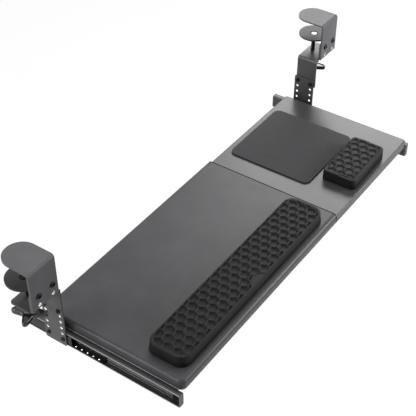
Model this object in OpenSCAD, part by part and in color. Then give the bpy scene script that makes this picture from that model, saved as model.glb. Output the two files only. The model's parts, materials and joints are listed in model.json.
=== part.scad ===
// Keyboard tray that clamps under the front edge of a desk.
// Two nested steel panels carry the keyboard and the mouse. Each end hangs on a
// ball-bearing slide, a hanger plate with rows of tapped holes, and a C-clamp.
// The modules work in the tray's own frame: X from its left end, Y back from its
// front edge and Z up from the keyboard panel's top. place() then moves that frame
// to the part's origin, midway between the clamps, on the desk's top and front edge.
// What the two ends share is drawn once for the left end, and mirrored.

/* [Tray] */
// Width of the whole tray as it stands in the photograph
tray_w = 747; // [725:1:765]
// Depth of the keyboard panel, front to back
tray_d = 276; // [270:1:290]
// Sheet thickness of both panels
panel_wall = 1.5; // [1.2:0.1:1.8]
// Width of the keyboard panel
keyboard_panel_w = 467; // [450:1:480]
// Height of the keyboard panel's side walls
keyboard_panel_h = 17.5; // [15:0.5:18]
// Radius of the keyboard panel's top edge
keyboard_edge_r = 8; // [6:0.5:9]
// Radius of the keyboard panel's corners, seen from above
keyboard_corner_r = 10.5; // [9.5:0.5:14]
// Width of the mouse panel, with what slides under the keyboard panel
mouse_panel_w = 400; // [385:1:415]
// How far the mouse panel's top lies below the keyboard panel's top
mouse_panel_drop = 7; // [6.5:0.5:8]
// Height of the mouse panel's side walls
mouse_panel_h = 15.7; // [14:0.1:17]
// Radius of the mouse panel's top edge
mouse_edge_r = 2.5; // [2:0.1:3]
// Radius of the mouse panel's corners, seen from above
mouse_corner_r = 6; // [4:0.5:9]
// Side clearance between the nested panels
nest_gap = 0.3; // [0.2:0.1:0.6]

/* [Extension rails] */
// Distance of each rail's centre line from the tray's front and back edges
rail_inset = 60; // [45:1:80]
// Width of a runner
runner_w = 16; // [14:1:18]
// Height of a runner
runner_h = 8; // [7:0.5:9]
// Sheet thickness of the runners and the guides
rail_wall = 1.5; // [1.2:0.1:1.8]
// Left end of a runner, measured from the tray's left end
runner_start = 130; // [120:1:140]
// Distance of a runner's right end from the tray's right end
runner_end_gap = 30; // [26:1:40]
// Left end of a guide, measured from the tray's left end
guide_start = 60; // [50:1:70]
// Length of a guide
guide_len = 225; // [190:1:230]
// Running clearance round a runner in its guide
rail_gap = 0.3; // [0.2:0.1:0.4]
// Width of each foot of a guide
guide_foot = 11; // [10:0.5:14]

/* [Slides] */
// Length of the slide member that is fixed to the tray
slide_len = 305; // [295:1:320]
// Height of the slide
slide_h = 27; // [26:0.5:30]
// How far the slide's open side stands out past the tray's end
slide_out = 9; // [8.8:0.1:9.5]
// Sheet thickness of both slide members
slide_wall = 1.2; // [1:0.1:1.3]
// Depth of the slide's top edge below the keyboard panel's top
slide_drop = 19.5; // [19:0.1:21]
// Corner radius of the outer slide member
slide_r = 2.5; // [2:0.1:3]
// Height of the turned lips at the outer member's mouth
slide_lip = 1.4; // [1:0.1:1.6]
// Height of the low ribs beside the ball track
track_rib = 0.8; // [0.5:0.1:0.9]
// Diameter of a slide ball
ball_d = 3.9; // [3.7:0.1:4]
// Running clearance between a ball and either track
ball_gap = 0.15; // [0.1:0.05:0.2]
// Distance between neighbouring balls
ball_pitch = 11.8; // [10:0.1:14]
// Number of balls in a row
ball_count = 10; // [8:1:10]
// Front end of the ball cage, measured from the tray's front edge
cage_front = 147.5; // [143:0.5:155]
// Sheet thickness of the ball cage
cage_wall = 0.8; // [0.6:0.1:0.9]
// Length of the slide member that is fixed to the hanger
inner_len = 95; // [90:1:105]
// Length of the rubber stop in the front of the slide
bumper_len = 10; // [6:1:14]
// Distance of the rubber stop from the slide's front end
bumper_inset = 3; // [2:0.5:5]

/* [Carrier angles] */
// Thickness of the angle that joins a slide to its panel
carrier_t = 2; // [1.6:0.1:2.2]
// Width of its flange under the panel
carrier_w = 25; // [23:1:30]

/* [Hangers] */
// Thickness of a hanger plate
hanger_t = 2; // [1.6:0.1:2.5]
// Gap between the hanger plate and the open side of the slide
hanger_gap = 1; // [0.8:0.1:1.2]
// Width of a hanger plate, front to back
hanger_w = 43.5; // [41:0.5:46]
// Rows of holes in a hanger plate
hole_rows = 6; // [5:1:6]
// Height from one row of holes to the next
row_pitch = 13.1; // [12.5:0.1:13.5]
// Distance between the two columns of holes
column_pitch = 29.5; // [27:0.5:30]
// Diameter of the hanger's holes
hanger_hole_d = 4.8; // [4.4:0.1:5.2]
// Plate left above the top row of holes
hanger_top_margin = 9.5; // [7:0.5:12]
// Plate left below the bottom row of holes
hanger_foot_margin = 13; // [9:0.5:13]

/* [Clamps] */
// Sheet thickness of the clamp bracket
bracket_t = 2.5; // [2:0.1:3]
// Depth of the clamp bracket, front to back
bracket_d = 42.8; // [41:0.1:46]
// Height of the clamp's shelf above the tray's top
shelf_z = 86.5; // [80:0.5:90]
// Height of the bracket's lower edge above the tray's top
bracket_foot_z = 26; // [20:0.5:27]
// Height of the bracket's front flange above its shelf
flange_h = 29.5; // [27:0.5:30]
// Radius of the shelf's free corner
shelf_corner_r = 6; // [4:0.5:8]
// Outer bend radius of the bracket
bracket_bend_r = 5; // [4:0.5:6]
// Distance of the desk's front edge ahead of the slides' back end, with the tray pulled out
edge_ahead = 88; // [83:0.5:93]
// Thickness of the hook
hook_t = 3; // [2.5:0.1:3.5]
// Width of the hook
hook_w = 57; // [54:0.5:60]
// Distance from the tray's end to the inner edge of a hook that is centred on its shelf
hook_in = 20; // [18:0.5:22]
// How far both hooks stand to the right of that
hook_shift = 2.3; // [1.5:0.1:2.5]
// Height of the desk's top above the clamp's shelf
throat = 72.5; // [70:0.5:80]
// Reach of the hook's tongue over the desk, from the front of its plate
tongue_len = 67.6; // [62:0.1:74]
// Outer bend radius of the hook
hook_bend_r = 6; // [5:0.5:8]
// Distance between the two hook screws
hook_screw_pitch = 30; // [26:1:31]
// Height of the hook screws above the shelf
hook_screw_z = 23.5; // [21:0.5:23.5]
// How far the screws stand to the right of the hook's middle
hook_screw_shift = 2; // [0:0.5:2.5]
// Diameter of the two open holes low in the hook
hook_hole_d = 6.5; // [5.5:0.1:7]
// Height of those holes above the shelf
hook_hole_z = 6.2; // [6:0.1:7]

/* [Spindles] */
// Diameter of the clamp spindle
spindle_d = 8; // [7:0.5:9]
// Running clearance of the spindle in its nut
spindle_gap = 0.1; // [0.05:0.05:0.15]
// Distance of the spindle behind the desk's front edge
spindle_back = 31.5; // [31:0.1:32]
// Distance of the spindle from the tray's end
spindle_out = 50.8; // [48:0.1:52]
// Diameter of the pressure disc
disc_d = 59; // [52:1:60]
// Thickness of the pressure disc
disc_t = 3; // [2.5:0.1:3.5]
// Gap between the disc and the hook's tongue, which is the desk's thickness
desk_gap = 35; // [33:0.5:36]
// Diameter of the recess in the disc's middle
recess_d = 14; // [12:0.5:15]
// Diameter of the knob over its lobes
knob_d = 58; // [50:1:60]
// Height of the knob
knob_h = 8; // [7:0.5:12]
// Height from the knob's underside to the disc's top
screw_len = 79; // [76:0.5:82]
// Turn of the left knob about its spindle
left_knob_turn = 25; // [0:1:89]
// Turn of the right knob, in the mirrored view
right_knob_turn = 75; // [0:1:89]

/* [Rests and pad] */
// Length of the keyboard wrist rest
keyboard_rest_l = 425; // [410:1:428]
// Depth of the keyboard wrist rest
keyboard_rest_d = 76; // [70:1:80]
// Distance of its left end from the tray's left end
keyboard_rest_x = 20; // [18:1:24]
// Distance of its front edge from the tray's front edge
keyboard_rest_y = 12; // [10:1:20]
// Length of the mouse wrist rest
mouse_rest_l = 127; // [120:1:132]
// Depth of the mouse wrist rest
mouse_rest_d = 68; // [62:1:72]
// Distance of its middle from the tray's right end
mouse_rest_x = 135.5; // [131:0.5:141]
// Distance of its middle from the tray's front edge
mouse_rest_y = 46; // [43:1:49]
// Angle at which the mouse wrist rest lies
mouse_rest_turn = 1; // [0:1:4]
// Height of the keyboard wrist rest
keyboard_rest_h = 21; // [18:0.5:25]
// Height of the mouse wrist rest
mouse_rest_h = 22; // [18:0.5:24]
// Distance between the middles of neighbouring cells in the rests
cell_pitch = 18; // [16:0.5:20]
// Depth of a cell
cell_depth = 3; // [2:0.25:4]
// Smooth rim round the cells
rest_rim = 3; // [2:0.5:5]
// Corner radius of the rests, seen from above
rest_corner_r = 22; // [16:1:26]
// Side of the mouse pad along the tray
pad_w = 174; // [164:1:178]
// Side of the mouse pad across the tray
pad_d = 172; // [164:1:174]
// Thickness of the mouse pad
pad_t = 3; // [2:0.5:4]
// Distance of the pad's right edge from the tray's right end
pad_x = 57; // [51:1:59]
// Distance of the pad's front edge from the tray's front edge
pad_y = 89.5; // [87:0.5:92]
// Corner radius of the mouse pad
pad_corner_r = 12; // [6:1:20]

/* [Fasteners] */
// Diameter of the screws in the slides, hangers and carriers
screw_d = 4; // [3.6:0.1:4]
// Diameter of their heads
screw_head_d = 8; // [7:0.1:8.5]
// Height of the heads on the hangers
screw_head_h = 2.4; // [2:0.1:2.8]
// Height of the flat heads inside the slides
flat_head_h = 0.8; // [0.6:0.1:0.9]
// Width across the flats of the small nuts
nut_af = 7; // [6.5:0.1:7.5]
// Height of the small nuts
nut_h = 3.2; // [2.5:0.1:3.5]
// Diameter of the hook screws
hook_screw_d = 6; // [5:0.1:6.2]
// Diameter of their heads
hook_head_d = 11; // [10:0.1:12]
// Height of their heads
hook_head_h = 2.5; // [2:0.1:3.5]
// Width across the flats of their nuts
hook_nut_af = 10; // [9:0.1:10]
// Height of their nuts
hook_nut_h = 4.8; // [4:0.1:5]
// Clearance of a screw in its hole, on the radius
screw_gap = 0.1; // [0.05:0.05:0.2]
// How far a screw or a stud stands out of its nut
screw_over = 1.5; // [1:0.1:2]

/* [Hidden] */
$fn = 48;
cut = 1;
slack = 0.01;
quarter = 90;

// Colours as the photograph shows them
panel_colour = [0.27, 0.27, 0.28];
mouse_panel_colour = [0.5, 0.5, 0.51];
bracket_colour = [0.3, 0.3, 0.3];
slide_colour = [0.2, 0.2, 0.2];
steel_colour = [0.75, 0.75, 0.76];
black_colour = [0.07, 0.07, 0.07];
pad_colour = [0.22, 0.22, 0.22];

// Nested panels
nest_inset = panel_wall + nest_gap;
mouse_panel_d = tray_d - 2 * nest_inset;
mouse_skin_z = -mouse_panel_drop - panel_wall;

// Rails that carry the mouse panel under the keyboard panel
runner_len = tray_w - runner_end_gap - runner_start;
runner_top = mouse_skin_z;
runner_nut_count = 4;
runner_nut_inset = 20;
guide_half = runner_w / 2 + rail_gap + rail_wall;
guide_floor = runner_top - runner_h - rail_gap;
guide_nut_count = 2;
guide_nut_inset = 25;
nut_r = nut_af / 2 / cos(30);

// Slide section, as a box that is open on its outboard side
slide_top = -slide_drop;
slide_base = slide_top - slide_h;
slide_mid = slide_top - slide_h / 2;
web_x = panel_wall;
track_z = slide_h / 2 - slide_wall - ball_gap - ball_d / 2;
inner_h = 2 * (track_z - ball_d / 2 - ball_gap);
hanger_x = -slide_out - hanger_gap;
inner_edge = -2.5;
ball_x = (inner_edge + hanger_x) / 2 + 0.95;
rib_reach = ball_d / 2 + 0.05;
cage_web_x = -0.9;
cage_web_t = 1;
cage_len = (ball_count - 1) * ball_pitch + 2 * 10.1;
cage_side_gap = 0.15;
window_len = 8;
window_h = 7;

// Carriers
carrier_screw_count = 3;
carrier_screw_inset = 20;
stud_x = 18;

// The desk's front edge, and the hanger plate under it
edge_y = slide_len - edge_ahead;
hanger_y = edge_y + 2;
hanger_foot = slide_mid - hanger_foot_margin;
hanger_top = slide_mid + (hole_rows - 1) * row_pitch + hanger_top_margin;
column_y = hanger_y + (hanger_w - column_pitch) / 2;
inner_y = slide_len - inner_len;
top_row_z = slide_mid + (hole_rows - 1) * row_pitch;

// Clamp
bracket_x = hanger_x - hanger_t;
hook_mid = -hook_in - hook_w / 2;
hook_y = edge_y - hook_t;
desk_top_z = shelf_z + throat;
shelf_w = hook_in + hook_w + bracket_x;
flange_bend_r = 4;
flange_relief = 1;
spindle_x = -spindle_out;
spindle_y = edge_y + spindle_back;
disc_top = desk_top_z - desk_gap;
disc_hub_d = 16;
disc_hub_h = 4;
neck_d = 6;
neck_gap = 0.1;
spindle_head_d = 11;
spindle_head_h = 1.5;
recess_depth = 2.2;
knob_base = disc_top - screw_len;
spindle_nut_d = 15;
spindle_nut_h = 7;
knob_hub_r = 10;
knob_lobe_r = 5;
knob_skirt_h = 3;

// Honeycomb of the wrist rests: a triangular lattice in which every third point is sunk
lattice = cell_pitch / sqrt(3);
row_step = cell_pitch / 2;
rest_top_r = 4;
rest_side_in = 1.5;
rest_crown = 1.5;
rest_tip = 1.2;
rest_end_parts = [0, 0.12, 0.4];

// Moves the tray's frame to the part's origin at the desk's edge
module place() {
    translate([-tray_w / 2, -edge_y, -desk_top_z]) children();
}

// Draws what the left end has at the right end
module right_end() {
    translate([tray_w, 0, 0]) mirror([1, 0, 0]) children();
}

// Draws an outline of X and Z along Y
module along_y(start, length) {
    translate([0, start + length, 0]) rotate([90, 0, 0]) linear_extrude(length) children();
}

// Draws an outline of Y and Z along X
module along_x(start, length) {
    translate([start, 0, 0]) rotate([90, 0, 90]) linear_extrude(length) children();
}

// Rounded rectangle with its corner at the origin
module rounded_rect(w, h, r) {
    translate([r, 0]) square([w - 2 * r, h]);
    translate([0, r]) square([w, h - 2 * r]);
    for (x = [r, w - r], y = [r, h - r]) translate([x, y]) circle(r);
}

// Quarter of a ring in the first quadrant
module quarter_ring(r_out, r_in) {
    intersection() {
        difference() {
            circle(r_out);
            circle(r_in);
        }
        square(r_out + cut);
    }
}

// Bent strip with its outer corner at the origin and its legs along +X and +Y
module angle_profile(leg_x, leg_y, t, r) {
    translate([r, r]) rotate(180) quarter_ring(r, r - t);
    translate([r, 0]) square([leg_x - r, t]);
    translate([0, r]) square([t, leg_y - r]);
}

// Screw or bolt along +X: its head stands behind the origin and its shank in front
module bolt(head_d, head_h, shank_d, shank_len) {
    translate([-head_h, 0, 0]) rotate([0, 90, 0]) cylinder(h = head_h, d = head_d);
    rotate([0, 90, 0]) cylinder(h = shank_len, d = shank_d);
}

// Hexagon nut along +Z with a clear bore
module nut(af, h, bore_d) {
    difference() {
        cylinder(h = h, d = af / cos(30), $fn = 6);
        translate([0, 0, -cut]) cylinder(h = h + 2 * cut, d = bore_d, $fn = 48);
    }
}

// Section of a panel's edge: its rounding and its side wall
module edge_profile(r, h) {
    translate([0, -r]) quarter_ring(r, r - panel_wall);
    translate([r - panel_wall, -h]) square([panel_wall, h - r]);
}

// Pressed steel panel, open below and at its inner end
module panel_shell(w, d, h, edge_r, corner_r) {
    core_r = corner_r - edge_r;
    translate([0, 0, -panel_wall]) linear_extrude(panel_wall) {
        translate([corner_r, edge_r]) square([w - corner_r, d - 2 * edge_r]);
        translate([edge_r, corner_r]) square([corner_r, d - 2 * corner_r]);
        for (y = [corner_r, d - corner_r]) translate([corner_r, y]) circle(core_r);
    }
    along_x(corner_r, w - corner_r) {
        translate([d - edge_r, 0]) edge_profile(edge_r, h);
        translate([edge_r, 0]) mirror([1, 0]) edge_profile(edge_r, h);
    }
    along_y(corner_r, d - 2 * corner_r) {
        translate([edge_r, 0]) mirror([1, 0]) edge_profile(edge_r, h);
    }
    for (back = [0, 1]) {
        translate([corner_r, back ? d - corner_r : corner_r, 0]) rotate(180 - back * quarter)
            rotate_extrude(angle = quarter) translate([core_r, 0]) edge_profile(edge_r, h);
    }
}

// Stud that is welded under a panel, from the skin's underside down
module stud(drop) {
    translate([0, 0, -drop]) cylinder(h = drop + slack, d = screw_d);
}

// Places along a carrier where it is screwed
function carrier_spots(inset) = [for (i = [0 : carrier_screw_count - 1])
    inset + carrier_screw_inset
        + i * (tray_d - 2 * inset - 2 * carrier_screw_inset) / (carrier_screw_count - 1)];

// Places along a rail where nuts hold it
function spread(start, length, inset, count) = [for (i = [0 : count - 1])
    start + inset + i * (length - 2 * inset) / (count - 1)];

guide_spots = spread(guide_start, guide_len, guide_nut_inset, guide_nut_count);
mouse_panel_x = tray_w - mouse_panel_w;
runner_spots = spread(mouse_panel_x, mouse_panel_w - runner_end_gap, runner_nut_inset,
    runner_nut_count);
rail_lines = [rail_inset, tray_d - rail_inset];
guide_foot_mid = guide_half + guide_foot / 2;

module left_panel() {
    color(panel_colour) {
        panel_shell(keyboard_panel_w, tray_d, keyboard_panel_h, keyboard_edge_r,
            keyboard_corner_r);
        for (y = carrier_spots(keyboard_corner_r)) {
            translate([stud_x, y, -panel_wall]) stud(carrier_t + nut_h + screw_over);
        }
        for (x = guide_spots, y = rail_lines, side = [-1, 1]) {
            translate([x, y + side * guide_foot_mid, -panel_wall])
                stud(rail_wall + nut_h + screw_over);
        }
    }
}

module right_panel() {
    color(mouse_panel_colour) {
        right_end() difference() {
            translate([0, nest_inset, -mouse_panel_drop])
                panel_shell(mouse_panel_w, mouse_panel_d, mouse_panel_h, mouse_edge_r,
                    mouse_corner_r);
            translate([-cut, -cut, slide_base])
                cube([panel_wall + slack + cut, tray_d, slide_h + nest_gap]);
        }
        for (y = carrier_spots(mouse_corner_r)) {
            translate([tray_w - stud_x, y, mouse_skin_z])
                stud(carrier_t + nut_h + screw_over);
        }
        for (x = runner_spots, y = rail_lines) {
            translate([x, y, mouse_skin_z]) stud(rail_wall + nut_h + screw_over);
        }
    }
}

// Guide rail under the keyboard panel, along the front or the back runner
module guide(line_y) {
    color(slide_colour) difference() {
        along_x(guide_start, guide_len) translate([line_y, 0]) {
            for (side = [0, 1]) mirror([side, 0]) {
                translate([guide_half - rail_wall, guide_floor - rail_wall])
                    square([rail_wall, -panel_wall - guide_floor + rail_wall]);
                translate([guide_half - slack, -panel_wall - rail_wall])
                    square([guide_foot + slack, rail_wall]);
            }
            translate([-guide_half, guide_floor - rail_wall])
                square([2 * guide_half, rail_wall]);
        }
        for (x = guide_spots, side = [-1, 1]) {
            translate([x, line_y + side * guide_foot_mid, -panel_wall - rail_wall - cut])
                cylinder(h = rail_wall + 2 * cut, d = screw_d + 2 * screw_gap);
        }
    }
}

module front_guide() {
    guide(rail_lines[0]);
}

module back_guide() {
    guide(rail_lines[1]);
}

module guide_nuts() {
    color(steel_colour) for (x = guide_spots, y = rail_lines, side = [-1, 1]) {
        translate([x, y + side * guide_foot_mid, -panel_wall - rail_wall - nut_h])
            nut(nut_af, nut_h, screw_d + 2 * screw_gap);
    }
}

// Runner under the mouse panel, a channel that is open below
module runner(line_y) {
    color(slide_colour) difference() {
        along_x(runner_start, runner_len) translate([line_y - runner_w / 2, runner_top - runner_h])
            difference() {
                square([runner_w, runner_h]);
                translate([rail_wall, -cut])
                    square([runner_w - 2 * rail_wall, runner_h - rail_wall + cut]);
            }
        for (x = runner_spots) {
            translate([x, line_y, runner_top - rail_wall - cut])
                cylinder(h = rail_wall + 2 * cut, d = screw_d + 2 * screw_gap);
        }
    }
}

module front_runner() {
    runner(rail_lines[0]);
}

module back_runner() {
    runner(rail_lines[1]);
}

module runner_nuts() {
    color(steel_colour) for (x = runner_spots, y = rail_lines) {
        translate([x, y, runner_top - rail_wall - nut_h])
            nut(nut_af, nut_h, screw_d + 2 * screw_gap);
    }
}

// Angle that joins a slide to its panel
module carrier(skin_z, inset, bend_r) {
    color(bracket_colour) difference() {
        along_y(inset, tray_d - 2 * inset) translate([web_x, skin_z]) mirror([0, 1])
            angle_profile(carrier_w, skin_z - slide_base - slide_r, carrier_t, bend_r);
        for (y = carrier_spots(inset)) {
            translate([web_x - cut, y, slide_mid]) rotate([0, 90, 0])
                cylinder(h = carrier_t + 2 * cut, d = screw_d + 2 * screw_gap);
            translate([stud_x, y, skin_z - carrier_t - cut])
                cylinder(h = carrier_t + 2 * cut, d = screw_d + 2 * screw_gap);
        }
    }
}

module carrier_screws(inset) {
    color(steel_colour) for (y = carrier_spots(inset)) {
        translate([web_x - slide_wall, y, slide_mid])
            bolt(screw_head_d, flat_head_h, screw_d,
                slide_wall + carrier_t + nut_h + screw_over);
    }
}

module carrier_nuts(skin_z, inset) {
    color(steel_colour) for (y = carrier_spots(inset)) {
        translate([web_x + carrier_t, y, slide_mid]) rotate([0, 90, 0])
            nut(nut_af, nut_h, screw_d + 2 * screw_gap);
        translate([stud_x, y, skin_z - carrier_t - nut_h])
            nut(nut_af, nut_h, screw_d + 2 * screw_gap);
    }
}

// Section of the outer slide member, open on its outboard side
module slide_section() {
    box_w = slide_out + web_x;
    difference() {
        translate([-slide_out, slide_base]) rounded_rect(box_w, slide_h, slide_r);
        translate([-slide_out + slide_wall, slide_base + slide_wall])
            rounded_rect(box_w - 2 * slide_wall, slide_h - 2 * slide_wall,
                slide_r - slide_wall);
        translate([-slide_out - cut, slide_base + slide_wall + slide_lip])
            square([slide_wall + 2 * cut, slide_h - 2 * (slide_wall + slide_lip)]);
    }
    for (side = [-1, 1]) {
        translate([ball_x + side * rib_reach - slide_wall / 4, slide_base + slide_wall - slack])
            square([slide_wall / 2, track_rib + slack]);
    }
}

module slide_outer(inset) {
    color(slide_colour) difference() {
        union() {
            along_y(slide_wall - slack, slide_len - slide_wall + slack) slide_section();
            along_y(0, slide_wall) translate([-slide_out, slide_base])
                rounded_rect(slide_out + web_x, slide_h, slide_r);
        }
        for (y = carrier_spots(inset)) {
            translate([web_x - slide_wall - cut, y, slide_mid]) rotate([0, 90, 0])
                cylinder(h = slide_wall + 2 * cut, d = screw_d + 2 * screw_gap);
        }
    }
}

module bumper() {
    stop_h = slide_h - 2 * (slide_wall + track_rib + slide_lip / 2);
    color(black_colour) along_y(bumper_inset, bumper_len)
        translate([-slide_out + slide_wall, slide_mid - stop_h / 2])
            square([slide_out + web_x - 2 * slide_wall, stop_h]);
}

function ball_places() = [for (i = [0 : ball_count - 1])
    cage_front + (cage_len - (ball_count - 1) * ball_pitch) / 2 + i * ball_pitch];

module ball_cage() {
    color(steel_colour) difference() {
        along_y(cage_front, cage_len) {
            translate([cage_web_x - cage_web_t, slide_mid - track_z - cage_wall / 2])
                square([cage_web_t, 2 * track_z + cage_wall]);
            for (side = [-1, 1]) {
                translate([ball_x - ball_d / 2 - cage_wall,
                        slide_mid + side * track_z - cage_wall / 2])
                    square([cage_web_x - ball_x + ball_d / 2 + cage_wall, cage_wall]);
            }
        }
        for (y = ball_places(), side = [-1, 1]) {
            translate([ball_x, y, slide_mid + side * track_z - cage_wall])
                cylinder(h = 2 * cage_wall, d = ball_d + 2 * cage_side_gap);
        }
        for (i = [0 : 2 : ball_count - 2]) {
            translate([cage_web_x - cage_web_t - cut, ball_places()[i] + ball_pitch / 4,
                    slide_mid + track_z - window_h - cage_wall])
                cube([cage_web_t + 2 * cut, window_len, window_h]);
        }
    }
}

module balls() {
    color(steel_colour) for (y = ball_places(), side = [-1, 1]) {
        translate([ball_x, y, slide_mid + side * track_z]) sphere(d = ball_d, $fn = 24);
    }
}

module slide_inner() {
    inner_w = inner_edge - hanger_x;
    color(slide_colour) difference() {
        along_y(inner_y, inner_len) difference() {
            translate([hanger_x, slide_mid - inner_h / 2])
                rounded_rect(inner_w + slide_r, inner_h, slide_r - slide_wall / 2);
            translate([hanger_x + slide_wall, slide_mid - inner_h / 2 + slide_wall])
                square([inner_w + slide_r, inner_h - 2 * slide_wall]);
            translate([inner_edge, slide_mid - inner_h / 2 - cut])
                square([slide_r + cut, inner_h + 2 * cut]);
        }
        for (i = [0, 1]) {
            translate([hanger_x - cut, column_y + i * column_pitch, slide_mid])
                rotate([0, 90, 0])
                    cylinder(h = slide_wall + 2 * cut, d = screw_d + 2 * screw_gap);
        }
    }
}

module slide_screws() {
    color(black_colour) for (i = [0, 1]) {
        translate([bracket_x, column_y + i * column_pitch, slide_mid])
            bolt(screw_head_d, screw_head_h, screw_d, hanger_t + slide_wall + screw_over);
    }
}

module hanger() {
    color(bracket_colour) along_x(bracket_x, hanger_t) difference() {
        translate([hanger_y, hanger_foot])
            rounded_rect(hanger_w, hanger_top - hanger_foot, hanger_t + cut);
        for (i = [0, 1], row = [0 : hole_rows - 1]) {
            translate([column_y + i * column_pitch, slide_mid + row * row_pitch])
                circle(d = hanger_hole_d);
        }
    }
}

module hanger_bolts() {
    color(black_colour) for (i = [0, 1]) {
        translate([bracket_x - bracket_t, column_y + i * column_pitch, top_row_z])
            bolt(screw_head_d, screw_head_h, screw_d,
                bracket_t + hanger_t + nut_h + screw_over);
    }
}

module hanger_nuts() {
    color(black_colour) for (i = [0, 1]) {
        translate([hanger_x, column_y + i * column_pitch, top_row_z]) rotate([0, 90, 0])
            nut(nut_af, nut_h, screw_d + 2 * screw_gap);
    }
}

// The hooks are the same part at both ends, so they don't stand as mirror images: these
// places are for the left end, where end is 1, and for the mirrored right end with -1
function hook_x(end) = hook_mid + end * hook_shift;
function hook_screw_x(end) = hook_x(end) + end * hook_screw_shift;

// Section of the bracket's side plate with a shelf of a given width
module bracket_section(w) {
    translate([bracket_x, shelf_z]) rotate(180)
        angle_profile(w, shelf_z - bracket_foot_z, bracket_t, bracket_bend_r);
}

// Side plate, shelf and upturned front flange, bent from one strip
module clamp_bracket(end) {
    flange_w = hook_w - 2 * hook_shift;
    color(bracket_colour) difference() {
        union() {
            along_y(edge_y + flange_bend_r, bracket_d - flange_bend_r) bracket_section(shelf_w);
            along_y(edge_y, flange_bend_r + slack)
                bracket_section(bracket_x - hook_mid - flange_w / 2 - flange_relief);
            along_x(hook_mid - flange_w / 2, flange_w)
                translate([edge_y, shelf_z - bracket_t])
                    angle_profile(bracket_d / 2, bracket_t + flange_h, bracket_t,
                        flange_bend_r);
        }
        translate([bracket_x - shelf_w, edge_y + bracket_d, shelf_z - bracket_t - cut])
            linear_extrude(bracket_t + 2 * cut) difference() {
                translate([-cut, -shelf_corner_r]) square(shelf_corner_r + cut);
                translate([shelf_corner_r, -shelf_corner_r]) circle(shelf_corner_r);
            }
        translate([spindle_x, spindle_y, shelf_z - bracket_t - cut])
            cylinder(h = bracket_t + 2 * cut, d = spindle_d + 1);
        for (i = [0, 1]) {
            translate([bracket_x - bracket_t - cut, column_y + i * column_pitch, top_row_z])
                rotate([0, 90, 0])
                    cylinder(h = bracket_t + 2 * cut, d = hanger_hole_d);
        }
        for (side = [-1, 1]) hook_holes(end, side, bracket_t + 2 * cut, edge_y - cut);
    }
}

// The screw hole and the open hole on one side of the hook, along Y
module hook_holes(end, side, length, start) {
    x = hook_screw_x(end) + side * hook_screw_pitch / 2;
    translate([x, start + length, shelf_z + hook_screw_z]) rotate([90, 0, 0])
        cylinder(h = length, d = hook_screw_d + 2 * screw_gap);
    translate([x, start + length, shelf_z + hook_hole_z]) rotate([90, 0, 0])
        cylinder(h = length, d = hook_hole_d);
}

module spindle_nut() {
    color(bracket_colour) translate([spindle_x, spindle_y, shelf_z - bracket_t - spindle_nut_h])
        difference() {
            cylinder(h = spindle_nut_h, d = spindle_nut_d);
            translate([0, 0, -cut])
                cylinder(h = spindle_nut_h + 2 * cut, d = spindle_d + 2 * spindle_gap);
        }
}

// Flat plate in front of the desk's edge, with a round-ended tongue over its top
module hook(end) {
    tip_r = hook_w / 2;
    color(bracket_colour) difference() {
        union() {
            along_x(hook_x(end) - tip_r, hook_w)
                translate([hook_y, desk_top_z + hook_t]) mirror([0, 1])
                    angle_profile(hook_bend_r + slack, throat + hook_t, hook_t, hook_bend_r);
            translate([hook_x(end), 0, desk_top_z]) linear_extrude(hook_t) {
                translate([-tip_r, hook_y + hook_bend_r])
                    square([hook_w, tongue_len - hook_bend_r - tip_r]);
                translate([0, hook_y + tongue_len - tip_r]) circle(tip_r, $fn = 96);
            }
        }
        for (side = [-1, 1]) hook_holes(end, side, hook_t + 2 * cut, hook_y - cut);
    }
}

module hook_screws(end) {
    color(black_colour) for (side = [-1, 1]) {
        translate([hook_screw_x(end) + side * hook_screw_pitch / 2, hook_y,
                shelf_z + hook_screw_z])
            rotate(90) bolt(hook_head_d, hook_head_h, hook_screw_d,
                hook_t + bracket_t + hook_nut_h + screw_over);
    }
}

module hook_nuts(end) {
    color(black_colour) for (side = [-1, 1]) {
        translate([hook_screw_x(end) + side * hook_screw_pitch / 2, edge_y + bracket_t,
                shelf_z + hook_screw_z])
            rotate([-90, 0, 0]) nut(hook_nut_af, hook_nut_h, hook_screw_d + 2 * screw_gap);
    }
}

// Threaded spindle: a shoulder carries the disc, and its riveted end holds it
module spindle() {
    neck_foot = disc_top - disc_t - disc_hub_h - neck_gap;
    head_foot = disc_top - recess_depth + neck_gap;
    color(steel_colour) translate([spindle_x, spindle_y, 0]) {
        translate([0, 0, knob_base + knob_skirt_h])
            cylinder(h = neck_foot - knob_base - knob_skirt_h, d = spindle_d);
        translate([0, 0, neck_foot - slack])
            cylinder(h = head_foot - neck_foot + 2 * slack, d = neck_d);
        translate([0, 0, head_foot]) cylinder(h = spindle_head_h, d = spindle_head_d);
    }
}

module disc() {
    hub_foot = disc_top - disc_t - disc_hub_h;
    color(bracket_colour) translate([spindle_x, spindle_y, 0]) difference() {
        union() {
            translate([0, 0, disc_top - disc_t]) cylinder(h = disc_t, d = disc_d, $fn = 96);
            translate([0, 0, hub_foot]) cylinder(h = disc_hub_h + slack, d = disc_hub_d);
        }
        translate([0, 0, hub_foot - cut])
            cylinder(h = disc_hub_h + disc_t + 2 * cut, d = neck_d + 2 * neck_gap);
        translate([0, 0, disc_top - recess_depth])
            cylinder(h = recess_depth + cut, d = recess_d);
    }
}

// Outline of the knob: four round-ended lobes that widen towards a hub
module knob_outline(lobe_r, hub_r) {
    reach = knob_d / 2 - knob_lobe_r;
    circle(hub_r + knob_lobe_r / 2);
    for (turn = [0 : 90 : 270]) rotate(turn) {
        translate([reach, 0]) circle(lobe_r);
        polygon([[0, -hub_r], [reach, -lobe_r], [reach, lobe_r], [0, hub_r]]);
    }
}

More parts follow.
